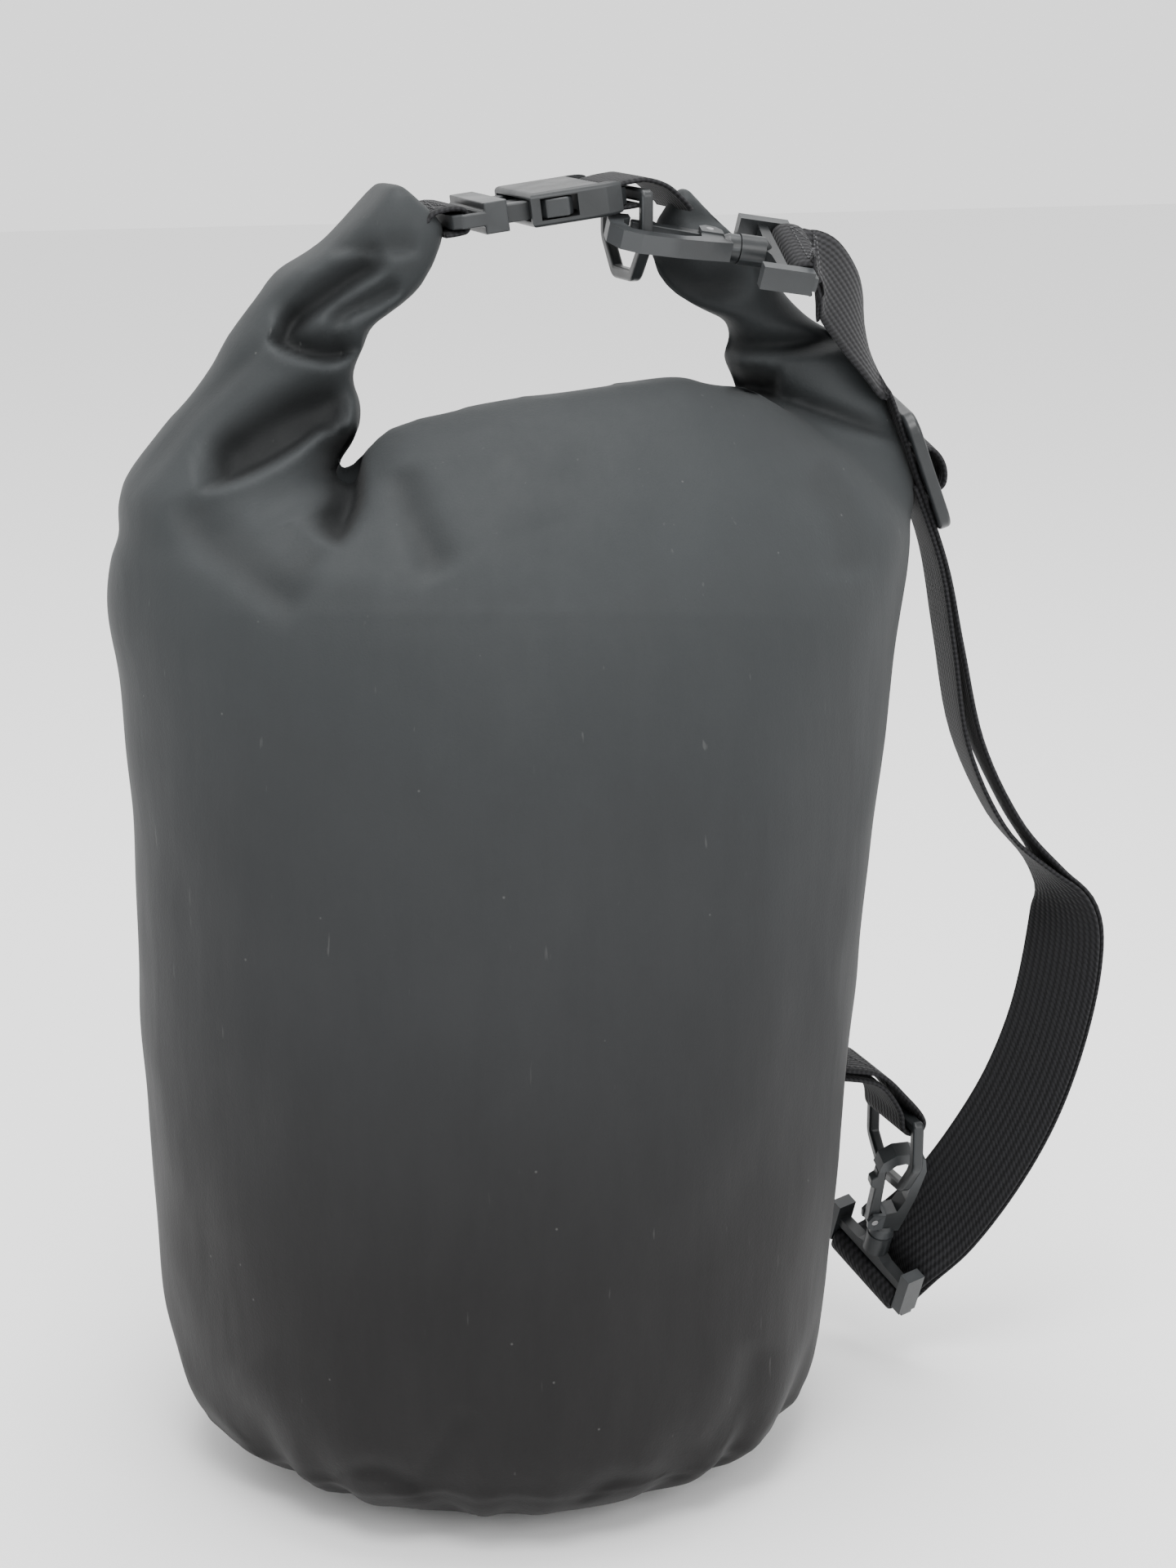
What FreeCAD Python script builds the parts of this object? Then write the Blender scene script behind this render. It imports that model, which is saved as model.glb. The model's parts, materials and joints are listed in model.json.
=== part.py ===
import FreeCAD, Part
import math
import os

import Sketcher

# A roll-top dry bag: a stuffed fabric tube whose flattened mouth is rolled down and buckled
# into a carry loop, with a shoulder strap clipped to two D-rings.
#
# Row frame: origin at the centre of the base, on the ground. +Z up, +X along the flattened
# mouth towards the side that carries the shoulder strap, -Y the front of the bag.
# All sizes are millimetres.

Vector = FreeCAD.Vector

DIMENSIONS = {
    # bag fabric, as modelled: the wall stands for coated fabric about 0.6 thick
    "wall": 1.0,
    "base_radius": 70,
    "base_thickness": 1.4,
    "cavity_top": 402,
    # rolled mouth
    "roll_depth": 42,
    "roll_rounding": 8,
    "roll_gap": 0.4,
    "stiffener_width": 30,
    "stiffener_thickness": 2,
    "stiffener_gap": 0.3,
    # webbing, 38 mm class
    "web_width": 38,
    "web_thickness": 1.7,
    # side-release buckle
    "buckle_width": 44,
    "buckle_thickness": 12,
    "buckle_wall": 2.2,
    "bar_thickness": 6,
    "tongue_thickness": 5,
    "arm_thickness": 6.6,
    # D-rings
    "ring_width": 47.6,
    "ring_drop": 31,
    "ring_section": 4.4,
    "ring_corner": 8,
    "ring_edge": 1.2,
    "ring_clearance": 3.3,
    # swivel snap hooks
    "frame_width": 50,
    "frame_thickness": 5,
    "frame_pad_thickness": 8.4,
    "frame_pad_width": 5,
    "frame_slot_width": 40,
    "bar_depth": 5,
    "collar_start": 10,
    "collar_end": 19,
    "collar_radius": 5.4,
    "pin_radius": 2.5,
    "pin_head_radius": 3.9,
    "pin_gap": 0.3,
    "hook_thickness": 7,
    "gate_thickness": 4.4,
    "cheek_thickness": 8,
    "gate_pin_radius": 1.3,
    "gate_pin_gap": 0.15,
    # strap slider
    "slider_length": 46,
    "slider_width": 48,
    "slider_thickness": 5,
    "slider_corner": 8,
    "slider_edge": 1.4,
    "slider_bar": 8,
    "slider_slot": 8,
    "slider_slot_width": 41,
    "slider_gap": 0.35,
    # patch and tab that hold the lower ring
    "patch_width": 44,
    "patch_bottom": 102,
    "patch_top": 148,
    "patch_thickness": 1.2,
    "ring_tab_x": 160.5,
    "ring_tab_z": 111,
}

# Bag cross-sections, ellipses: height, half width, half depth, centre x, centre y.
BAG_SECTIONS = [
    (1.4, 72, 72, 0, 0),
    (8, 91, 91, 0, 0),
    (20, 111, 110, -1, 0),
    (44, 123, 121, -2, 0),
    (120, 130, 123, -2, 0),
    (220, 136, 120, 1, 0),
    (300, 143, 112, 5, 0),
    (345, 149, 98, 7, -1),
    (384, 130, 60, 9, -10),
    (400, 114, 30, 12, -22),
    (406, 73, 12, 17, -28),
]

# Outline of the rolled mouth in the XZ plane. The last two numbers point away from the roll's
# own middle, and say which way each corner moves when the outline is grown by a gap.
ROLL_OUTSIDE = [
    (-40, 473, -1, 1),
    (-66, 451, -1, 1),
    (-92, 428, -1, 1),
    (-106, 406, -1, 1),
    (-122, 388, -1, 1),
    (-132, 368, -1, 0),
    (-116, 352, 0, -1),
    (126, 352, 0, -1),
    (142, 376, 1, 0),
    (132, 406, 1, 1),
    (116, 417, 1, 1),
    (93, 444, 1, 1),
    (68, 472, 1, 1),
]
ROLL_INSIDE = [
    (57, 453), (69, 430), (88, 422), (91, 404), (82, 393),
    (-42, 390), (-54, 402), (-49, 424), (-34, 437), (-27, 457),
]
# The two arms are pressed thinner above this height: half depth, start and end of the taper.
ARM_HALF_DEPTH = 10
ARM_TAPER_START = 420
ARM_TAPER_END = 430

# Middle line of the stiffener strip inside the roll, XZ plane.
STIFFENER_LINE = [(-84, 412), (-86, 392), (-78, 373), (104, 373), (112, 392), (106, 410)]

# Places where the hardware sits: origin, direction of local X, rough direction of local Y.
BUCKLE_PLACE = ((10, 0, 464.5), (0.992, 0, 0.127), (0, 1, 0))
UPPER_RING_PLACE = ((48, 0, 468.5), (1, 0, 0), (0, 1, 0))
LOWER_RING_PLACE = ((160.5, 0, 111), (1, 0, 0), (0, 1, 0))
UPPER_BASE_PLACE = ((99.5, -28.2, 446.8), (-0.982, 0.109, 0.152), (-0.17, -0.94, -0.30))
UPPER_HOOK_PLACE = ((99.5, -28.2, 446.8), (-0.982, 0.109, 0.152), (0.155, 0.953, 0.26))
LOWER_BASE_PLACE = ((161, 22.2, 37.5), (0.016, -0.447, 0.894), (0.312, -0.848, -0.429))
LOWER_HOOK_PLACE = ((161, 22.2, 37.5), (0.016, -0.447, 0.894), (-1, 0, 0.018))
SLIDER_PLACE = ((159.5, -6.5, 368), (0.355, 0, -0.935), (0.188, 0.98, 0.071))

# Shoulder strap, middle line between the two hooks: point, direction of the webbing's width.
STRAP_TOP = [
    ((108, -30, 445.5), (-0.20, -0.93, -0.30)),
    ((115.5, -26.5, 438), (-0.36, -0.89, -0.26)),
    ((125, -20.5, 427), (-0.40, -0.89, -0.18)),
    ((135.5, -12.5, 411.5), (-0.30, -0.94, -0.12)),
]
STRAP_LOOSE = [
    ((175.5, -8.5, 300), (-0.20, -0.98, 0)),
    ((183.5, -12.5, 264), (-0.22, -0.97, 0)),
    ((196.5, -19, 234), (-0.20, -0.98, 0)),
    ((210, -25, 213.5), (-0.05, -1.00, 0)),
    ((217, -29, 198), (0.25, -0.97, -0.02)),
    ((217, -29.5, 178), (0.36, -0.93, -0.06)),
    ((213, -26, 148), (0.36, -0.91, -0.15)),
    ((206, -19, 118), (0.36, -0.86, -0.30)),
    ((196, -9, 90), (0.33, -0.75, -0.50)),
    ((185, 4, 64), (0.28, -0.66, -0.65)),
    ((175, 14, 48), (0.29, -0.74, -0.58)),
]
# Gap between the two layers of webbing at each of the loose points.
LAYER_GAP = [3.0, 5.5, 6.0, 3.0, 2.4, 2.4, 2.6, 3.0, 3.4, 4.2, 5.4]
STRAIGHT_REACH = 36
SEWN_OFFSET = 2.3
UPPER_WRAP = [(-6, -4.3), (-0.6, -4.3), (2.0, -2.2), (2.0, 2.2), (-0.6, 4.3), (-6, 4.3)]
LOWER_WRAP = [
    (-7.0, 8), (-7.1, -0.4), (-5.8, -3.6), (-2.4, -4.6), (0.9, -3.6), (2.0, -0.4), (1.6, 8),
]

document = FreeCAD.newDocument("roll_top_bag")
sheet = document.addObject("Spreadsheet::Sheet", "size")
rows_used = 0
finished = {}


def add_cell(alias, value):
    """Put a number in the sheet under an alias and return the expression that reads it."""
    global rows_used
    rows_used += 1
    sheet.set("A%d" % rows_used, alias)
    sheet.set("B%d" % rows_used, str(value))
    sheet.setAlias("B%d" % rows_used, alias)
    return "size." + alias


for alias_name, number in DIMENSIONS.items():
    add_cell(alias_name, number)
document.recompute()


def value(alias):
    return float(getattr(sheet, alias))


def placement(place):
    """Placement whose X and Y axes point along the two directions given."""
    origin, along, across = (Vector(*numbers) for numbers in place)
    along.normalize()
    across = (across - along * across.dot(along)).normalize()
    return FreeCAD.Placement(origin, FreeCAD.Rotation(along, across, along.cross(across), "XYZ"))


def new_body(name, place=None):
    body = document.addObject("PartDesign::Body", name)
    if place:
        body.Placement = placement(place)
    return body


def bound(name, index, axis, coordinate):
    """Expression for one coordinate: text is an expression, a number gets its own cell."""
    if isinstance(coordinate, str):
        return coordinate
    return add_cell("%s_%s%d" % (name, axis, index), coordinate)


def sketch_on(body, plane_role, name, loops):
    """Sketch on one of the body's origin planes. A loop is a list of corners or (x, y, radius)."""
    sketch = body.newObject("Sketcher::SketchObject", name)
    plane = [item for item in body.Origin.OriginFeatures if item.Role == plane_role][0]
    sketch.AttachmentSupport = [(plane, "")]
    sketch.MapMode = "FlatFace"
    index = 0
    for loop in loops:
        if isinstance(loop, tuple):
            index = add_circle(sketch, name, index, loop)
        else:
            index = add_polygon(sketch, name, index, loop)
    return sketch


def add_circle(sketch, name, index, loop):
    circle = sketch.addGeometry(Part.Circle(Vector(1, 1, 0), Vector(0, 0, 1), 1), False)
    across = sketch.addConstraint(Sketcher.Constraint("DistanceX", -1, 1, circle, 3, 1))
    up = sketch.addConstraint(Sketcher.Constraint("DistanceY", -1, 1, circle, 3, 1))
    size = sketch.addConstraint(Sketcher.Constraint("Radius", circle, 1))
    sketch.setExpression("Constraints[%d]" % across, bound(name, index, "x", loop[0]))
    sketch.setExpression("Constraints[%d]" % up, bound(name, index, "y", loop[1]))
    sketch.setExpression("Constraints[%d]" % size, bound(name, index, "radius", loop[2]))
    return index + 1


def add_polygon(sketch, name, index, corners):
    count = len(corners)
    guess = [
        Vector(math.cos(math.tau * step / count), math.sin(math.tau * step / count), 0)
        for step in range(count)
    ]
    lines = [
        sketch.addGeometry(Part.LineSegment(guess[step], guess[(step + 1) % count]), False)
        for step in range(count)
    ]
    for step in range(count):
        following = lines[(step + 1) % count]
        sketch.addConstraint(Sketcher.Constraint("Coincident", lines[step], 2, following, 1))
    for step, (x, y) in enumerate(corners):
        spot = guess[step]
        across = sketch.addConstraint(
            Sketcher.Constraint("DistanceX", -1, 1, lines[step], 1, spot.x))
        up = sketch.addConstraint(
            Sketcher.Constraint("DistanceY", -1, 1, lines[step], 1, spot.y))
        sketch.setExpression("Constraints[%d]" % across, bound(name, index, "x", x))
        sketch.setExpression("Constraints[%d]" % up, bound(name, index, "y", y))
        index += 1
    return index


def add_prism(body, kind, sketch, name, thickness):
    """Pad or pocket, symmetric about the sketch plane."""
    feature = body.newObject("PartDesign::" + kind, name)
    feature.Profile = sketch
    feature.SideType = "Symmetric"
    feature.setExpression("Length", thickness)
    document.recompute()
    return feature


def pad(body, name, plane_role, loops, thickness):
    return add_prism(body, "Pad", sketch_on(body, plane_role, name + "_outline", loops), name, thickness)


def pocket(body, name, plane_role, loops, thickness):
    before = body.Shape.Volume
    feature = add_prism(
        body, "Pocket", sketch_on(body, plane_role, name + "_outline", loops), name, thickness)
    if body.Shape.Volume > before - 0.5:
        raise RuntimeError(name + " cuts nothing")
    return feature


def turned(body, name, loops):
    """Solid of revolution about the body's X axis, from an outline in its XY plane."""
    feature = body.newObject("PartDesign::Revolution", name)
    sketch = sketch_on(body, "XY_Plane", name + "_outline", loops)
    feature.Profile = sketch
    feature.ReferenceAxis = (sketch, ["H_Axis"])
    feature.Angle = 360
    body.Tip = feature
    document.recompute()
    return feature


def round_edges(body, name, radius, wanted):
    """Fillet the edges of the body's tip for which wanted(edge) holds."""
    base = body.Tip
    edges = [
        "Edge%d" % (number + 1)
        for number, edge in enumerate(base.Shape.Edges) if wanted(edge)
    ]
    feature = body.newObject("PartDesign::Fillet", name)
    feature.Base = (base, edges)
    feature.setExpression("Radius", radius)
    document.recompute()
    return feature


def is_along(direction):
    """Test for straight edges that run along a direction."""
    def test(edge):
        if not isinstance(edge.Curve, Part.Line):
            return False
        return abs(edge.tangentAt(edge.FirstParameter).dot(direction)) > 0.999
    return test


def is_rim(direction, reach):
    """Test for edges that lie in either face of a plate, reach away from its middle plane."""
    def test(edge):
        ends = [vertex.Point.dot(direction) for vertex in edge.Vertexes]
        middle = edge.valueAt((edge.FirstParameter + edge.LastParameter) / 2).dot(direction)
        return all(abs(abs(height) - reach) < 0.01 for height in ends + [middle])
    return test


def rectangle(half_x, half_y):
    """Corner list of a rectangle centred on the sketch's origin, from two expressions."""
    return [
        ("-(%s)" % half_x, "-(%s)" % half_y),
        (half_x, "-(%s)" % half_y),
        (half_x, half_y),
        ("-(%s)" % half_x, half_y),
    ]


def boolean(kind, name, base, tool):
    feature = document.addObject("Part::" + kind, name)
    feature.Base = base
    feature.Tool = tool
    return feature


# ---- bag fabric ------------------------------------------------------------------------------

def bag_loft(name, change):
    """Loft through the bag's sections, each radius changed by an expression."""
    rings = []
    for number, (height, half_width, half_depth, middle_x, middle_y) in enumerate(BAG_SECTIONS):
        cells = "bag%d_" % number
        if name == "bag_outside":
            add_cell(cells + "height", height)
            add_cell(cells + "half_width", half_width)
            add_cell(cells + "half_depth", half_depth)
            add_cell(cells + "middle_x", middle_x)
            add_cell(cells + "middle_y", middle_y)
        ring = document.addObject("Part::Ellipse", "%s_ring%d" % (name, number))
        ring.setExpression("MajorRadius", "size.%shalf_width %s" % (cells, change))
        ring.setExpression("MinorRadius", "size.%shalf_depth %s" % (cells, change))
        ring.setExpression("Placement.Base.x", "size.%smiddle_x" % cells)
        ring.setExpression("Placement.Base.y", "size.%smiddle_y" % cells)
        ring.setExpression("Placement.Base.z", "size.%sheight" % cells)
        rings.append(ring)
    loft = document.addObject("Part::Loft", name)
    loft.Sections = rings
    loft.Solid = True
    loft.Ruled = False
    return loft


def roll_space(name, grow):
    """Block of the carry loop's whole outline, grown by an expression, to cut from the bag."""
    corners = []
    for number, (x, z, side, rise) in enumerate(ROLL_OUTSIDE):
        if grow == "size.roll_gap":
            add_cell("loop_x%d" % number, x)
            add_cell("loop_z%d" % number, z)
        corners.append((
            "size.loop_x%d + %d * (%s)" % (number, side, grow),
            "size.loop_z%d + %d * (%s)" % (number, rise, grow),
        ))
    body = new_body(name)
    pad(body, name + "_block", "XZ_Plane", [corners], "size.roll_depth + 2 * (%s)" % grow)
    return body


def make_bag():
    groove = roll_space("groove", "size.roll_gap")
    groove_wall = roll_space("groove_wall", "size.roll_gap + size.wall")
    outside = bag_loft("bag_outside", "")
    inside = bag_loft("bag_inside", "- size.wall")
    lid = document.addObject("Part::Box", "cavity_lid")
    lid.Length = 400
    lid.Width = 400
    lid.Height = 40
    lid.Placement.Base = Vector(-200, -200, 0)
    lid.setExpression("Placement.Base.z", "size.cavity_top")
    cavity = boolean("Cut", "bag_cavity", inside, lid)
    grooved = boolean("Cut", "bag_grooved", outside, groove)
    hollow = boolean("Cut", "bag_hollow", cavity, groove_wall)
    finished["bag_tube"] = boolean("Cut", "bag_tube", grooved, hollow)
    base = document.addObject("Part::Cylinder", "base_disc")
    base.setExpression("Radius", "size.base_radius")
    base.setExpression("Height", "size.base_thickness")
    finished["base_disc"] = base
    return outside


def make_tab_patch(outside):
    """Patch welded to the bag's side under the webbing tab."""
    skin = bag_loft("patch_skin", "+ size.patch_thickness")
    block = document.addObject("Part::Box", "patch_block")
    block.Length = 60
    block.setExpression("Width", "size.patch_width")
    block.setExpression("Height", "size.patch_top - size.patch_bottom")
    block.Placement.Base = Vector(110, 0, 0)
    block.setExpression("Placement.Base.y", "-size.patch_width / 2")
    block.setExpression("Placement.Base.z", "size.patch_bottom")
    raised = boolean("Common", "patch_raised", skin, block)
    finished["ring_tab_patch"] = boolean("Cut", "ring_tab_patch", raised, outside)


def band(line, half):
    """Closed outline at a constant distance either side of an open line."""
    normals = []
    for first, second in zip(line, line[1:]):
        run = Vector(second[0] - first[0], second[1] - first[1], 0).normalize()
        normals.append(Vector(-run.y, run.x, 0))
    left, right = [], []
    for number, (x, z) in enumerate(line):
        before = normals[max(number - 1, 0)]
        after = normals[min(number, len(normals) - 1)]
        mitre = (before + after) / (1 + before.dot(after))
        left.append((x + mitre.x * half, z + mitre.y * half))
        right.append((x - mitre.x * half, z - mitre.y * half))
    return left + right[::-1]


def make_roll():
    corners = [(x, z) for x, z, side, rise in ROLL_OUTSIDE] + ROLL_INSIDE
    body = new_body("mouth_roll")
    pad(body, "roll_band", "XZ_Plane", [corners], "size.roll_depth")
    half = value("stiffener_thickness") / 2
    slot = band(STIFFENER_LINE, half + value("stiffener_gap"))
    reach = value("roll_depth") / 2
    round_edges(body, "roll_rounded", "size.roll_rounding", is_rim(Vector(0, 1, 0), reach))
    pocket(body, "stiffener_slot", "XZ_Plane", [slot],
           "size.stiffener_width + 2 * size.stiffener_gap")
    for name, sign in (("arm_front", -1), ("arm_back", 1)):
        relief = [(sign * 30, ARM_TAPER_START), (sign * reach, ARM_TAPER_START),
                  (sign * ARM_HALF_DEPTH, ARM_TAPER_END), (sign * ARM_HALF_DEPTH, 490),
                  (sign * 30, 490)]
        pocket(body, name, "YZ_Plane", [relief], "300")
    finished["mouth_roll"] = body
    strip = new_body("mouth_stiffener")
    pad(strip, "stiffener_strip", "XZ_Plane", [band(STIFFENER_LINE, half)], "size.stiffener_width")
    finished["mouth_stiffener"] = strip


# ---- buckle: local X from the plug end to the socket end, local Z through its thickness --------

def make_buckle():
    side = "size.buckle_width / 2"
    plug = new_body("buckle_male", BUCKLE_PLACE)
    block = [
        (-32, "-(%s) + 3" % side), (-29, "-(%s)" % side), (-12.4, "-(%s)" % side),
        (-12.4, -4), (10, -4), (12, -2), (12, 2), (10, 4), (-12.4, 4),
        (-12.4, side), (-29, side), (-32, "%s - 3" % side),
    ]
    pad(plug, "plug_bar", "XY_Plane", [block], "size.tongue_thickness")
    shoulder = [(-21, "-(%s)" % side), (-12.4, "-(%s)" % side), (-12.4, side), (-21, side)]
    pad(plug, "plug_shoulder", "XY_Plane", [shoulder], "size.buckle_thickness - 1")
    slot = [(-27.4, -19.8), (-22.4, -19.8), (-22.4, 19.8), (-27.4, 19.8)]
    pocket(plug, "plug_slot", "XY_Plane", [slot], "size.buckle_thickness * 2")
    finished["buckle_male"] = plug

    socket = new_body("buckle_female", BUCKLE_PLACE)
    shell = [
        (-4, "-(%s)" % side), (24, "-(%s)" % side), (30, "-(%s) + 2" % side),
        (32.4, "-(%s) + 5" % side), (32.4, "%s - 5" % side), (30, "%s - 2" % side),
        (24, side), (-4, side),
    ]
    pad(socket, "socket_shell", "XY_Plane", [shell], "size.buckle_thickness")
    half = value("buckle_thickness") / 2
    round_edges(socket, "socket_edges", "size.buckle_wall - 0.4", is_rim(Vector(0, 0, 1), half))
    cavity = [(-6, "-(%s) + size.buckle_wall" % side), (18, "-(%s) + size.buckle_wall" % side),
              (18, "%s - size.buckle_wall" % side), (-6, "%s - size.buckle_wall" % side)]
    pocket(socket, "socket_cavity", "XY_Plane", [cavity],
           "size.buckle_thickness - 2 * size.buckle_wall")
    window = [(-0.6, -30), (13.2, -30), (13.2, 30), (-0.6, 30)]
    pocket(socket, "socket_windows", "XY_Plane", [window],
           "size.buckle_thickness - 2 * size.buckle_wall")
    slot = [(21.8, -19.8), (27.4, -19.8), (27.4, 19.8), (21.8, 19.8)]
    pocket(socket, "socket_slot", "XY_Plane", [slot], "size.buckle_thickness * 2")
    for name, sign in (("socket_relief_top", 1), ("socket_relief_bottom", -1)):
        near = "%d * size.bar_thickness / 2" % sign
        far = "%d * size.buckle_thickness" % sign
        face = [(26, near), (40, near), (40, far), (26, far)]
        pocket(socket, name, "XZ_Plane", [face], "2 * 19.8")
    finished["buckle_female"] = socket

    for name, sign in (("buckle_arm_front", -1), ("buckle_arm_back", 1)):
        arm = new_body(name, BUCKLE_PLACE)
        outline = [(-12, 11.5), (-12, 16.8), (-3, 17.4), (0.2, 18.4), (1.6, 21.6), (9.5, 22.8),
                   (12.2, 18.8), (12, 15.4), (1.5, 14), (-3, 12.4)]
        pad(arm, name + "_bar", "XY_Plane", [[(x, sign * y) for x, y in outline]],
            "size.arm_thickness")
        finished[name] = arm


def make_buckle_webs():
    left = new_body("buckle_web_left", BUCKLE_PLACE)
    outline = [(-25.6, -4.9), (-25.6, 4.9), (-33, 6.6), (-40, 9.0), (-43.2, 8.2), (-49.6, 1.5),
               (-47.6, -0.4), (-42, 5.0), (-39.5, 5.4), (-36.4, 3.0), (-33.6, -4.9)]
    hole = [(-32.4, -3.3), (-27.1, -3.3), (-27.1, 3.3), (-32.4, 3.3)]
    pad(left, "left_loop", "XZ_Plane", [outline, hole], "size.web_width")
    finished["buckle_web_left"] = left

    right = new_body("buckle_web_right", BUCKLE_PLACE)
    outline = [(25.4, -4.9), (25.4, 4.9), (40, 4.6), (48, 0.6), (54, -6), (56.4, -8.5),
               (54.6, -10.7), (51.6, -8.2), (46, -6), (37, -6), (33.4, -4.9)]
    hole = [(27, -3.3), (32.8, -3.3), (32.8, 3.3), (27, 3.3)]
    pad(right, "right_loop", "XZ_Plane", [outline, hole], "size.web_width")
    ring = placement(BUCKLE_PLACE).inverse().multVec(Vector(*UPPER_RING_PLACE[0]))
    pocket(right, "ring_passage", "XZ_Plane", [(ring.x, ring.z, "size.ring_clearance")],
           "size.web_width * 2")
    finished["buckle_web_right"] = right


# ---- D-rings: local Y along the straight bar, local Z up, bar on the origin ---------------------

def make_ring(name, place):
    body = new_body(name, place)
    side = "size.ring_width / 2"
    half = "size.ring_section / 2"
    outside = [
        ("-(%s)" % side, half), ("-(%s)" % side, "-size.ring_drop * 0.55"),
        ("-(%s) * 0.45" % side, "-size.ring_drop"), ("%s * 0.45" % side, "-size.ring_drop"),
        (side, "-size.ring_drop * 0.55"), (side, half),
    ]
    pad(body, name + "_outside", "YZ_Plane", [outside], "size.ring_section")
    lengthwise = is_along(Vector(1, 0, 0))
    round_edges(body, name + "_corners", "size.ring_corner",
                lambda edge: lengthwise(edge) and edge.CenterOfMass.z < 0)
    round_edges(body, name + "_shoulders", "size.ring_corner / 3",
                lambda edge: lengthwise(edge) and edge.CenterOfMass.z > 0)
    reach = "(%s) - size.ring_section" % side
    floor = "-size.ring_drop + size.ring_section"
    inside = [
        ("-(%s)" % reach, "-(%s)" % half), ("-(%s)" % reach, "-size.ring_drop * 0.5"),
        ("-(%s) * 0.45" % reach, floor), ("(%s) * 0.45" % reach, floor),
        (reach, "-size.ring_drop * 0.5"), (reach, "-(%s)" % half),
    ]
    pocket(body, name + "_inside", "YZ_Plane", [inside], "size.ring_section * 2")
    thick = value("ring_section") / 2
    round_edges(body, name + "_edges", "size.ring_edge", is_rim(Vector(1, 0, 0), thick))
    finished[name] = body


def make_ring_tab():
    """Webbing tab sewn to the bag's side, folded round the lower ring's bar."""
    tab = new_body("ring_tab_webbing")
    outline = [(130.6, 137), (147, 133), (158, 122.5), (165, 113.6), (165.4, 108.6),
               (160.5, 105.9), (155.5, 108.4), (153.8, 117), (145.5, 127.4), (130.2, 131.5)]
    pad(tab, "tab_fold", "XZ_Plane", [outline], "size.web_width")
    pocket(tab, "tab_ring_passage", "XZ_Plane",
           [("size.ring_tab_x", "size.ring_tab_z", "size.ring_clearance")], "size.web_width * 2")
    finished["ring_tab_webbing"] = tab


# ---- snap hooks: local X from the webbing bar to the hook's nose, the plate in local XY -----------

def make_hook_base(name, place):
    body = new_body(name, place)
    side = "size.frame_width / 2"
    plate = [("-size.bar_depth", "-(%s)" % side), (8, "-(%s)" % side), (8.8, -8),
             ("size.collar_start", -5), ("size.collar_start", 5), (8.8, 8), (8, side),
             ("-size.bar_depth", side)]
    pad(body, name + "_plate", "XY_Plane", [plate], "size.frame_thickness")
    for number, sign in enumerate((-1, 1)):
        inner = "%d * (%s - size.frame_pad_width)" % (sign, side)
        outer = "%d * (%s)" % (sign, side)
        block = [("-size.bar_depth + 1.4", inner), (15, inner), (15, outer),
                 ("-size.bar_depth + 1.4", outer)]
        pad(body, "%s_pad%d" % (name, number), "XY_Plane", [block], "size.frame_pad_thickness")
    profile = [(7, 0), (7, 2.4), ("size.collar_start", "size.collar_radius"),
               ("size.collar_end", "size.collar_radius"),
               ("size.collar_end", "size.pin_radius + size.pin_gap"),
               ("size.collar_end - 4", "size.pin_radius + size.pin_gap"),
               ("size.collar_end - 4", "size.pin_head_radius + size.pin_gap"),
               ("size.collar_start + 1", "size.pin_head_radius + size.pin_gap"),
               ("size.collar_start + 1", 0)]
    turned(body, name + "_collar", [profile])
    slot_side = "size.frame_slot_width / 2"
    slot = [(0, "-(%s)" % slot_side), (4.6, "-(%s)" % slot_side), (4.6, slot_side),
            (0, slot_side)]
    pocket(body, name + "_slot", "XY_Plane", [slot], "size.frame_pad_thickness * 2")
    finished[name] = body


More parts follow.
